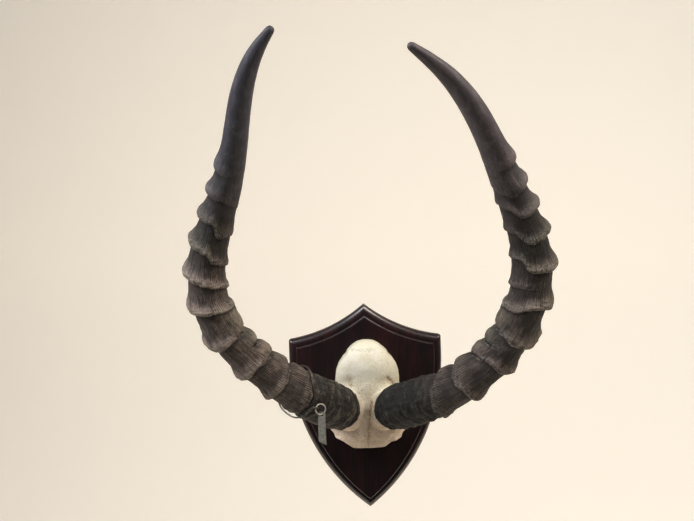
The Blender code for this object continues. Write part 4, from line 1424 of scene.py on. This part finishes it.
@dataclass
class Shield:
    """A small heater-shaped shield with a moulded edge, drilled for its screws and hanger."""

    piece: Piece
    width: float = 152.0
    height: float = 203.0
    thickness: float = 18.0
    corner_drop: float = 33.0
    top_radius: float = 150.0
    side_straight: float = 18.0
    shoulder_cut: float = 2.8  # mm of each side that the rounding of the shoulders takes
    top_widening: float = 1.22  # the moulding is this much wider along the top
    top_steps: int = 22
    side_steps: int = 40
    back_chamfer: float = 0.8
    bead_start: float = 5.5
    bead_radius: float = 6.5
    quirk: float = 1.5
    arris: float = 0.9
    bead_steps: int = 10
    screw_heights: Sequence[float] = (34.0, -20.0)
    screw_hole: tuple[float, float, float, float] = (7.4, 3.6, 3.0, 0.4)  # head, shank, cone, sink
    # (length, depth, width) and height of the hanger's recess and of the pocket for a nail's head
    recesses: Sequence[tuple[Triple, float]] = (
        ((44.0, 2.4, 10.0), 72.0), ((28.0, 3.8, 14.0), 68.0))
    nail_holes: Places = ((-17.0, 72.0), (17.0, 72.0))
    nail_hole: Pair = (2.1, 9.3)

    def outline(self, inset: float) -> Places:
        """Corners of a line inside the edge as (across, up), from the apex round.

        Args:
            inset: Distance from the edge.

        Returns:
            The corners.
        """
        half = self.width / 2
        apex = Vector((0, self.height / 2))
        corner = Vector((half, apex.y - self.corner_drop))
        chord = corner - apex
        reach = math.sqrt(self.top_radius ** 2 - chord.length_squared / 4)
        middle = (apex + corner) / 2 + Vector((-chord.y, chord.x)).normalized() * reach
        radius = self.top_radius + inset * self.top_widening
        start = -math.degrees(math.acos(-middle.x / radius))
        end = -math.degrees(math.acos((half - inset - middle.x) / radius))
        points = arc(tuple(middle), radius, start, end, self.top_steps)

        side_end = corner.y - self.side_straight
        drop = side_end + self.height / 2
        radius = (half ** 2 + drop ** 2) / (2 * half)
        tip = math.degrees(math.acos((radius - half) / (radius - inset)))
        shoulder = len(points) - 1
        points += arc((half - radius, side_end), radius - inset, 0, -tip, self.side_steps)
        points[shoulder:shoulder + 1] = self.shoulder(points[shoulder - 1:shoulder + 2], inset)
        return points + [(-x, z) for x, z in points[-2:0:-1]]

    def shoulder(self, near: Places, inset: float) -> Places:
        """Round off a shoulder of the outline.

        Args:
            near: The corners before it, at it and after it.
            inset: Distance from the edge.

        Returns:
            The corners that take its place.
        """
        before, here, after = (Vector(corner) for corner in near)
        cut = max(self.shoulder_cut - 0.8 * inset, 0.2)
        start = here + (before - here).normalized() * cut
        end = here + (after - here).normalized() * cut
        parts = [k / 6 for k in range(7)]
        return [tuple((1 - t) ** 2 * start + 2 * t * (1 - t) * here + t * t * end) for t in parts]

    def edge(self) -> Places:
        """Lay out the section of the edge.

        Returns:
            Its corners as (mm inside the outline, mm from the wall), from the back round.
        """
        places = [(self.back_chamfer, 0.0), (0.0, self.back_chamfer), (0.0, self.bead_start)]
        places += [(self.bead_radius * (1 - math.cos(a)), self.bead_start + self.bead_radius * math.sin(a))
                   for a in np.linspace(0, math.pi / 2, self.bead_steps + 1)[1:]]
        top = self.thickness
        low = self.bead_start + self.bead_radius
        foot = self.bead_radius + self.quirk
        places += [(foot - 0.3, low - 0.05), (foot, low + 0.3), (foot, top - self.arris)]
        return places + [(foot + self.arris * (1 - math.cos(a)), top - self.arris * (1 - math.sin(a)))
                         for a in np.radians((25, 50, 75, 90))]

    def cutters(self) -> list[bpy.types.Object]:
        """Shapes of the screw holes, the hanger's recess and pocket and the nail holes.

        Returns:
            The cutters.
        """
        head, shank, cone, sink = self.screw_hole
        through = 2 * self.thickness
        neck = sink + cone
        profile = [(0, through), (shank / 2 + GAP, through), (shank / 2 + GAP, neck),
                   (head / 2 + GAP, sink), (head / 2 + GAP, -sink), (0, -sink)]
        made = [passing(turned(profile, 0, up)) for up in self.screw_heights]
        made += [block((long, 2 * deep, wide), (0, 0, up)) for (long, deep, wide), up in self.recesses]
        return made + [drill(*self.nail_hole, across, up, 16) for across, up in self.nail_holes]

    def build(self) -> None:
        """Roll the board's skin through its outline at each step of the edge, and cut its holes."""
        loops = [[(x, -out, z) for x, z in self.outline(inset)] for inset, out in self.edge()]
        self.piece.place(combined(passing(rolled(np.array(loops))), cut=self.cutters()))


# ---------------------------------------------------------------- wire, ring and tag


@dataclass
class TagHanging:
    """The loose wire round the left horn, the ring in its twisted ends and the tag on the ring."""

    wire: Piece
    ring: Piece
    tag: Piece
    horn: Horn
    # Round the horn as (mm along, turn in degrees, mm clear)
    route: Sequence[Triple] = (
        (49.8, 24, 1.2), (51.2, 2, 0.4), (53.4, -20, 0.4), (57.2, -42, 0.4), (60.8, -66, 0.4),
        (63, -90, 0.4), (64, -116, 0.4), (64.5, -142, 0.4), (64.5, -170, 0.6), (63.5, -198, 1.0),
        (61, -226, 1.4), (57, -250, 2.0), (53.5, -272, 3.0), (51, -290, 3.2), (49.4, -308, 3.0),
        (48.6, -324, 2.4))
    wire_size: float = 1.6
    wire_points: int = 420
    twist_turns: float = 2.25
    twist_radius: float = 0.95
    hook_clear: float = 0.35
    hook_sweep: float = 230.0
    ring_centre: Triple = (-43.4, -97.6, 11.4)
    ring_size: float = 9.4
    ring_wire: float = 1.2
    ring_yaw: float = 22.0
    ring_ends: Pair = (168.0, 536.0)  # degrees; the ends pass each other
    ring_offset: float = 0.75
    hook_angle: float = 160.0
    tag_size: Triple = (7.6, 30.0, 0.7)
    tag_skew: float = 3.0
    tag_corner: float = 1.7
    tag_hole: float = 3.2
    tag_inset: float = 2.7
    tag_drop: float = 0.5
    tag_angle: float = -78.0
    tag_yaw: float = -30.0
    tag_bend: Pair = (0.5, 0.25)  # mm that it bows, and twists at its end
    tag_cuts: int = 12

    def on_ring(self, degrees: Array | float) -> Array:
        """Directions from the ring's middle.

        Args:
            degrees: Angles from the ring's own across towards up.

        Returns:
            A direction for each.
        """
        across = np.array(Matrix.Rotation(math.radians(self.ring_yaw), 3, 'Z')) @ (1, 0, 0)
        angle = np.radians(degrees)[..., None]
        return np.cos(angle) * across + np.sin(angle) * (0, 0, 1)

    @cached_property
    def ring_axis(self) -> Array:
        """Direction in which the ring faces."""
        return np.array(Matrix.Rotation(math.radians(self.ring_yaw), 3, 'Z')) @ (0, -1, 0)

    def wire_line(self) -> Array:
        """Bend the wire: one twisted strand, the loop, the other strand and the hook.

        Returns:
            Its centre line.
        """
        radius = self.wire_size / 2
        loop = np.array([self.horn.above(along, math.radians(turn), clear + radius)
                         for along, turn, clear in self.route])
        outward = self.on_ring(self.hook_angle)
        held = np.array(self.ring_centre) + outward * self.ring_size / 2
        hook_radius = (self.ring_wire + self.wire_size) / 2 + self.hook_clear
        twist_end = held + outward * (hook_radius + self.twist_radius)
        twist_start = (loop[0] + loop[-1]) / 2
        run = unit(twist_end - twist_start)
        first = loop[0] - loop[-1]
        first = unit(first - first @ run * run)
        second = np.cross(run, first)
        strands = []
        parts = np.linspace(0.12, 1, 26)[:, None]
        for phase in (0, math.pi):
            angle = phase + 2 * math.pi * self.twist_turns * parts
            spoke = np.cos(angle) * first + np.sin(angle) * second
            strands.append(twist_start + parts * (twist_end - twist_start) + self.twist_radius * spoke)
        angle = np.radians(np.linspace(0, self.hook_sweep, 14))[:, None]
        hook = held + hook_radius * (np.cos(angle) * outward + np.sin(angle) * self.ring_axis)
        line = SmoothLine(loop)
        smooth_loop = line.at(np.linspace(0, line.length, 150))
        whole = SmoothLine(np.concatenate((strands[0][::-1], smooth_loop, strands[1], hook[1:])))
        return whole.at(np.linspace(0, whole.length, self.wire_points))

    def open_ring(self) -> Shape:
        """Bend the ring's wire round until its pointed ends pass each other.

        Returns:
            The closed shape of the ring.
        """
        degrees = np.linspace(*self.ring_ends, 96)
        part = np.linspace(-1, 1, len(degrees))
        offset = self.ring_offset * np.sign(part) * ease(np.abs(part), 0.75, 1.0)
        spread = self.ring_size / 2 + 0.5 * ease(-part, 0.8, 1.0)
        line = np.array(self.ring_centre) + spread[:, None] * self.on_ring(degrees)
        line = line + offset[:, None] * self.ring_axis
        return tube(line, self.ring_wire / 2 * (1 - 0.55 * ease(np.abs(part), 0.93, 1.0)))

    def strip(self) -> Shape:
        """Cut the tag from strip, with two clipped corners, a hole and a slight bend.

        Returns:
            The closed shape of the tag, in its place.
        """
        width, length, thickness = self.tag_size
        half = width / 2
        top = self.tag_inset
        bottom = top - length
        outline = [(-half, bottom + self.tag_skew), (half, bottom), (half, top - self.tag_corner),
                   (half - self.tag_corner, top), (self.tag_corner - half, top),
                   (-half, top - self.tag_corner)]
        shape = plate([outline, arc((0, 0), self.tag_hole / 2, 0, 345, 23)], thickness, 0.16)
        for k in range(1, self.tag_cuts):
            bmesh.ops.bisect_plane(shape, geom=shape.verts[:] + shape.edges[:] + shape.faces[:],
                                   plane_co=(0, top - length * k / self.tag_cuts, 0), plane_no=(0, 1, 0))
        bow, twist = self.tag_bend
        for vert in shape.verts:
            down = (top - vert.co.y) / length
            vert.co.z += bow * math.sin(math.pi * down) - twist * down * vert.co.x / half
        ring_foot = np.array(self.ring_centre) + self.on_ring(self.tag_angle) * self.ring_size / 2
        place = Matrix.Translation(Vector(ring_foot) - Vector((0, 0, self.tag_drop)))
        turn = Matrix.Rotation(math.radians(self.tag_yaw), 4, 'Z') @ FACING_OUT
        bmesh.ops.transform(shape, matrix=place @ turn, verts=shape.verts)
        return shape

    def build(self) -> None:
        """Model the three pieces and place them."""
        line = self.wire_line()
        self.wire.place(tube(line, np.full(len(line), self.wire_size / 2)))
        self.ring.place(self.open_ring())
        self.tag.place(self.strip())


# ---------------------------------------------------------------- fixings


@dataclass
class SkullScrew:
    """A countersunk screw from behind, with a cross in its head."""

    piece: Piece
    up: float
    head: float = 7.4
    shank: float = 3.6
    cone: float = 3.0
    sink: float = 0.4
    length: float = 30.0
    thread: float = 0.32  # mm that the thread stands out
    pitch: float = 1.6
    cross: Triple = (3.6, 1.4, 0.8)

    def build(self) -> None:
        """Turn the screw, cut its cross and place it."""
        neck = self.sink + self.cone
        radius = self.shank / 2
        profile = [(0, self.length), (0.3, self.length - 0.3)]
        for k in range(int((self.length - neck - 4) / self.pitch)):
            up = self.length - 0.6 - k * self.pitch
            root = (radius - self.thread) * min(1.0, 0.25 + (self.length - up) / (2 * self.shank))
            crest = min(radius, root + self.thread)
            profile += [(root, up), (crest, up - 0.5 * self.pitch), (crest, up - 0.62 * self.pitch)]
        profile += [(radius, neck + 1.2), (radius, neck), (self.head / 2, self.sink + 0.25),
                    (self.head / 2, self.sink + 0.05), (self.head / 2 - 0.15, self.sink), (0, self.sink)]
        long, deep, wide = self.cross
        arms = [block(size, (0, -self.sink, self.up))
                for size in ((long, 2 * deep, wide), (wide, 2 * deep, long))]
        self.piece.place(combined(passing(turned(profile, 0, self.up)), cut=arms))


@dataclass
class SawtoothHanger:
    """The toothed strip let into the back, and the two nails that hold it."""

    strip: Piece
    nails: tuple[Piece, Piece]
    up: float = 72.0
    length: float = 42.0
    width: float = 8.0
    thickness: float = 1.0
    corner: float = 1.6
    teeth: int = 13
    toothed: float = 26.0
    tooth: float = 1.3
    recess: float = 2.4
    nail_inset: float = 4.0
    nail_shank: float = 1.5
    nail_head: float = 3.4
    nail_length: float = 9.0

    def toothed_strip(self) -> Shape:
        """Cut the strip with its teeth and nail holes.

        Returns:
            The closed shape of the strip, in its place.
        """
        across, down = self.length / 2 - self.corner, self.width / 2 - self.corner
        low = -self.width / 2
        pitch = self.toothed / self.teeth
        outline = [(-self.length / 2, down), *arc((-across, -down), self.corner, 180, 270, 4)]
        for k in range(self.teeth):
            start = -self.toothed / 2 + k * pitch
            outline += [(start, low), (start + pitch / 2, self.tooth + low)]
        outline += [(self.toothed / 2, low), *arc((across, -down), self.corner, 270, 360, 4),
                    *arc((across, down), self.corner, 0, 90, 4),
                    *arc((-across, down), self.corner, 90, 180, 4)[:-1]]
        reach = self.length / 2 - self.nail_inset
        holes = [arc((place, 0), self.nail_shank / 2 + GAP, 0, 340, 17) for place in (-reach, reach)]
        shape = plate([outline, *holes], self.thickness, 0.14)
        depth = -self.recess + GAP + self.thickness / 2
        place = Matrix.Translation((0, depth, self.up)) @ FACING_OUT
        bmesh.ops.transform(shape, matrix=place, verts=shape.verts)
        return shape

    def build(self) -> None:
        """Model the strip and its nails and place them."""
        self.strip.place(self.toothed_strip())
        seat = self.recess - 2 * GAP - self.thickness
        head, shank = self.nail_head / 2, self.nail_shank / 2
        profile = [(0, self.nail_length), (shank * 0.5, self.nail_length - 1.0),
                   (shank, self.nail_length - 2.2), (shank, seat), (head, seat), (head, seat - 0.2),
                   (head * 0.85, seat - 0.38), (head * 0.5, seat - 0.48), (0, seat - 0.5)]
        reach = self.length / 2 - self.nail_inset
        for piece, across in zip(self.nails, (-reach, reach)):
            piece.place(turned(profile, across, self.up))


# ---------------------------------------------------------------- studio


@dataclass(frozen=True)
class SoftLight:
    """A square soft light that points at the object."""

    name: str
    place: Triple  # m
    size: float  # m
    watts: float
    colour: str


@dataclass
class Studio:
    """Camera, lights, floor and sweep, in metres."""

    camera_place: Triple = (-0.0149, -0.965, 0.1448)
    camera_roll: float = 2.0
    lens: float = 49.8
    target: Triple = (0.0, -0.12, 0.1)
    lights: Sequence[SoftLight] = (
        SoftLight("light_upper_left", (-1.5, -0.75, 1.15), 1.0, 52, "#f6f4f8"),
        SoftLight("light_upper_right", (1.5, -0.7, 1.25), 1.0, 43, "#fff2e4"),
        SoftLight("light_above", (0.0, -1.25, 1.75), 0.9, 18, "#fbf8f4"))
    air: str = "#efe8db"
    air_light: Span = (-0.5, 0.8, 0.04, 0.4)  # from the viewer's side to behind the object
    floor_level: float = -1.0
    floor_front: float = -0.7
    sweep_start: float = 1.6
    sweep_radius: float = 1.2
    sweep_top: float = 3.6
    floor_width: float = 8.0

    def build(self) -> None:
        """Add the camera, the lights, the air and the sweep."""
        self.add_camera()
        self.add_lights()
        self.add_air()
        self.add_sweep()

    def add_camera(self) -> None:
        """Look along +Y, level, with the slight roll of a hand-held picture."""
        roll = math.radians(self.camera_roll)
        right = Vector((math.cos(roll), 0, -math.sin(roll)))
        up = Vector((math.sin(roll), 0, math.cos(roll)))
        data = bpy.data.cameras.new("camera")
        data.sensor_width = 36
        data.lens = self.lens
        camera = linked("camera", data)
        place = Matrix((right, up, (0, -1, 0))).transposed().to_4x4()
        place.translation = self.camera_place
        camera.matrix_world = place
        bpy.context.scene.camera = camera

    def add_lights(self) -> None:
        """Add the soft lights, turned to the object."""
        for light in self.lights:
            data = bpy.data.lights.new(light.name, 'AREA')
            data.shape = 'SQUARE'
            data.size = light.size
            data.energy = light.watts
            data.color = linear(light.colour)[:3]
            made = linked(light.name, data)
            made.location = light.place
            aim = Vector(self.target) - Vector(light.place)
            made.rotation_euler = aim.to_track_quat('-Z', 'Y').to_euler()

    def add_air(self) -> None:
        """Fill the air with cream light, weaker from the viewer's side."""
        world = bpy.data.worlds.new("air")
        world.use_nodes = True
        add = partial(add_node, world.node_tree)
        depth = add("SeparateXYZ", add("TexCoord", out="Generated"), out="Y")
        light = add("MapRange", depth, *self.air_light)
        seen = add("LightPath", out="Is Camera Ray")
        background = world.node_tree.nodes["Background"]
        feed(background.inputs["Color"], linear(self.air))
        feed(background.inputs["Strength"], add("Mix", seen, light, 1.0, data_type='FLOAT'))
        bpy.context.scene.world = world
        bpy.context.scene.view_settings.view_transform = 'Standard'

    def add_sweep(self) -> None:
        """Lay the floor and curve it up behind the object."""
        shape = bmesh.new()
        low = self.floor_level
        curve = arc((self.sweep_start, low + self.sweep_radius), self.sweep_radius, -90, 0, 24)
        profile = [(self.floor_front, low), *curve, (self.sweep_start + self.sweep_radius, self.sweep_top)]
        row = [shape.verts.new((-self.floor_width / 2, y, z)) for y, z in profile]
        edges = [shape.edges.new(pair) for pair in zip(row, row[1:])]
        drawn = bmesh.ops.extrude_edge_only(shape, edges=edges)["geom"]
        moved = [part for part in drawn if isinstance(part, bmesh.types.BMVert)]
        bmesh.ops.translate(shape, vec=(self.floor_width, 0, 0), verts=moved)
        data = mesh_of(shape, "floor_and_sweep")
        data.shade_smooth()
        data.materials.append(PaleSweep("matt_cream_paint", roughness=0.9).material())
        made = linked("floor_and_sweep", data)


# ---------------------------------------------------------------- this object's own sizes

KERATIN = partial(HornKeratin, roughness=0.6, ior=1.54, shine=0.34)
# The horns share one keratin. Their copies differ in brightness and in the colour of the smooth end to
# paint how each horn is lit: the left copy brighter on the rings and the foot, the right copy darker there
# and warmer and lighter at the end.
LEFT_KERATIN = KERATIN("horn_keratin_left", tone=1.7, foot_tone=1.85, dusk=0.38,
                       end=((0.0, "#33333a"), (0.9, "#66656f")))
RIGHT_KERATIN = KERATIN("horn_keratin_right", tone=0.99, foot_tone=0.62,
                        end=((0.0, "#3d383d"), (0.9, "#7c7073")))
STEEL = WornMetal("zinc_plated_steel", roughness=0.3, metallic=1.0)

LEFT_HORN = Horn(
    piece=Piece("horn_left_sheath", ("horn_left",), "horn_keratin", LEFT_KERATIN, sharp=75),
    side=Side.LEFT,
    seed=3.7,
    line=(
        (-27, 50, 5), (-55, 79, 21.5), (-86, 101, 45), (-111.5, 117, 69.5), (-132, 133, 105),
        (-135, 145, 139), (-124.5, 160, 177.5), (-111, 179, 211.5), (-100.5, 202, 243.5),
        (-92, 225, 275), (-77, 248, 304), (-63.5, 262, 318)),
    girth=(
        (0, 42), (35, 41.5), (60, 38.5), (97, 33.5), (137, 31.5), (193, 32), (226, 31), (255, 28),
        (279, 25.5), (300, 23.8), (320, 21.8), (346, 19.7), (370, 18.2), (388, 16), (405, 13.2),
        (415, 11), (428, 8), (439, 5.5)),
    rings=(
        Ring(((90, 10), (0, 8), (-90, 10), (180, 12)), (0.5, 0.3, 0.4, 0.4)),
        Ring(((90, 21), (0, 19), (-90, 22), (180, 23)), (0.5, 0.3, 0.4, 0.4)),
        Ring(((90, 32), (0, 30), (-90, 35), (180, 35)), (0.3, 0.8, 0.5, 0.4)),
        Ring(((90, 43), (0, 42), (-90, 48), (180, 47)), (1.2, 0.7, 0.8, 0.7)),
        Ring(((90, 56), (14, 54.8), (-16, 56.8), (-39, 60.5), (-65, 65.5), (-90, 67), (180, 62)),
             (1.8, 1.8, 2.2, 1.4)),
        Ring(((90, 79), (49, 81), (4, 81.3), (-23, 83.3), (-53, 86.7), (-90, 87.5), (180, 83)),
             (3.6, 2.8, 2.8, 2.2)),
        Ring(((85, 111.5), (41, 110), (-2, 112), (-30, 110), (-61, 110), (-95, 108.5), (180, 111)),
             (4.6, 3.4, 4.2, 2.6)),
        Ring(((90, 133), (0, 130), (-60, 128.5), (-90, 128), (180, 131)), (0.0, 0.3, 3.2, 0.8)),
        Ring(((90, 151.5), (80, 150), (60, 144), (40, 143), (8, 144.5), (-40, 146.5), (-90, 147.5),
              (180, 150)), (5.0, 3.8, 3.2, 2.6)),
        Ring(((85, 181.5), (24, 177), (-11, 174.8), (-97, 172.5), (180, 176)), (5.0, 4.0, 3.6, 2.6)),
        Ring(((85, 208.5), (40, 205.3), (-9, 201), (-25, 199), (-96, 193.3), (180, 201)),
             (5.0, 3.8, 2.4, 2.4)),
        Ring(((85, 236.5), (48, 233), (-9, 229.8), (-18, 223.3), (-98, 218), (180, 228)),
             (4.8, 3.4, 2.0, 2.2)),
        Ring(((90, 260), (31, 257.8), (2, 258.8), (-8, 257), (-20, 247), (-69, 249.5), (-90, 248),
              (180, 253)), (4.4, 3.0, 1.8, 2.0)),
        Ring(((90, 284), (56, 282.5), (9, 281), (-5, 284), (-64, 278), (-90, 275), (180, 278)),
             (3.8, 1.9, 0.7, 0.9)),
        Ring(((90, 309), (22, 306.5), (-30, 309), (-58, 311.5), (-90, 309), (180, 308)),
             (2.6, 1.0, 0.3, 0.5)),
    ))

RIGHT_HORN = Horn(
    piece=Piece("horn_right_sheath", ("horn_right",), "horn_keratin", RIGHT_KERATIN, sharp=75),
    side=Side.RIGHT,
    seed=8.2,
    line=(
        (25, 50, 3), (60.5, 82, 17.5), (90, 103, 35.5), (114.5, 118, 58), (131.5, 131, 84.5),
        (141, 144, 116), (139.5, 157, 150), (126.5, 175, 185), (109, 197, 221),
        (91.5, 219, 251.5), (68, 240, 279.5), (35, 262, 302)),
    girth=(
        (0, 42), (35, 41.5), (60, 38.5), (105, 34), (145, 33), (181, 34), (214, 34), (240, 32),
        (265, 29.5), (295, 26), (320, 23.5), (345, 21.4), (365, 20), (385, 17.8), (405, 14.8),
        (420, 12), (435, 9.2), (451, 5.5)),
    rings=(
        Ring(((90, 9), (0, 8), (-90, 10), (180, 12)), (0.6, 0.7, 0.6, 0.4)),
        Ring(((90, 20), (0, 18), (-90, 21), (180, 22)), (0.5, 0.3, 0.4, 0.4)),
        Ring(((90, 31), (0, 29), (-90, 33), (180, 34)), (0.3, 0.8, 0.5, 0.4)),
        Ring(((90, 42), (0, 41), (-90, 47), (180, 46)), (1.2, 0.7, 0.8, 0.7)),
        Ring(((88, 53.5), (45, 57.3), (21, 56.5), (10, 59), (-26, 63.8), (-64, 72), (-90, 73),
              (180, 63)), (2.4, 1.8, 1.8, 1.2)),
        Ring(((90, 91), (77, 89), (14, 88.7), (-19, 88.3), (-73, 92.7), (-90, 93), (180, 90)),
             (4.2, 3.2, 3.2, 2.4)),
        Ring(((90, 126), (78, 125), (36, 122.5), (-10, 124.3), (-40, 120), (-90, 116), (180, 119)),
             (4.8, 3.4, 3.8, 2.6)),
        Ring(((90, 143), (0, 139.5), (-73, 137.5), (-90, 136.5), (180, 140)), (0.0, 0.3, 3.4, 0.8)),
        Ring(((90, 160), (78, 154), (60, 150), (2, 148.8), (-18, 152.3), (-62, 155.8), (180, 156)),
             (5.2, 4.0, 3.4, 2.6)),
        Ring(((90, 188), (76, 186.8), (11, 186.2), (-25, 179.5), (-81, 176), (180, 180)),
             (5.2, 4.2, 3.8, 2.8)),
        Ring(((90, 206), (0, 204), (-28, 203.8), (-97, 200.3), (180, 202)), (0.0, 0.6, 2.0, 0.4)),
        Ring(((90, 219), (79, 218), (10, 217.3), (-22, 219.8), (-34, 231), (-90, 230.5), (180, 224)),
             (5.2, 4.2, 2.2, 2.6)),
        Ring(((90, 248), (35, 246.3), (-2, 244.8), (-25, 249.8), (-42, 258.8), (-75, 260.8),
              (180, 253)), (4.8, 3.6, 2.0, 2.2)),
        Ring(((90, 273), (8, 270.8), (-15, 272.3), (-35, 280.8), (-82, 287.3), (180, 278)),
             (4.4, 3.2, 1.8, 2.0)),
        Ring(((90, 297), (44, 295.8), (-11, 292.8), (-60, 300), (-90, 303), (180, 297)),
             (3.8, 1.8, 0.7, 0.9)),
        Ring(((90, 320), (11, 318.8), (-16, 320.3), (-60, 326), (-90, 327), (180, 321)),
             (2.8, 1.1, 0.4, 0.5)),
    ))

SKULL_CAP = SkullCap(
    piece=Piece("skull_cap_bone", ("skull_cap",), "bone",
                CleanedBone("cleaned_bone", roughness=0.62, ior=1.5), sharp=80),
    horns=(LEFT_HORN, RIGHT_HORN))

SHIELD = Shield(
    piece=Piece("shield_board", ("shield",), "lacquered_wood",
                LacqueredMahogany("lacquered_mahogany", roughness=0.35, ior=1.4), sharp=28))

TAG_HANGING = TagHanging(
    wire=Piece("tag_wire_loop", ("tag_wire",), "dark_wire",
               WornMetal("annealed_iron_wire", roughness=0.34, metallic=1.0, light="#78746f",
                         dark="#3a3839", patch=3.0)),
    ring=Piece("tag_open_ring", ("tag_ring",), "steel",
               WornMetal("bright_steel_wire", roughness=0.35, metallic=0.6, light="#dbd4ca",
                         dark="#bbb3a9")),
    tag=Piece("tag_strip", ("tag",), "tag_metal",
              WornMetal("grey_sheet_metal", roughness=0.5, metallic=0.5, light="#939185",
                        dark="#6e6e66", patch=2.2)),
    horn=LEFT_HORN)

SCREWS = tuple(
    SkullScrew(Piece(f"{node}_turned", (node,), "steel", STEEL), up)
    for node, up in (("skull_screw_upper", 34.0), ("skull_screw_lower", -20.0)))

HANGER = SawtoothHanger(
    strip=Piece("hanger_strip", ("hanger",), "steel", STEEL),
    nails=tuple(Piece(f"{node}_domed", (node,), "steel", STEEL)
                for node in ("hanger_nail_left", "hanger_nail_right")))


def main() -> None:
    """Build the studio and every piece, in order."""
    logging.basicConfig(level=logging.INFO, format="%(name)s: %(message)s")
    for part in (Studio(), LEFT_HORN, RIGHT_HORN, SKULL_CAP, SHIELD, TAG_HANGING, *SCREWS, HANGER):
        part.build()


if __name__ == "__main__":
    main()
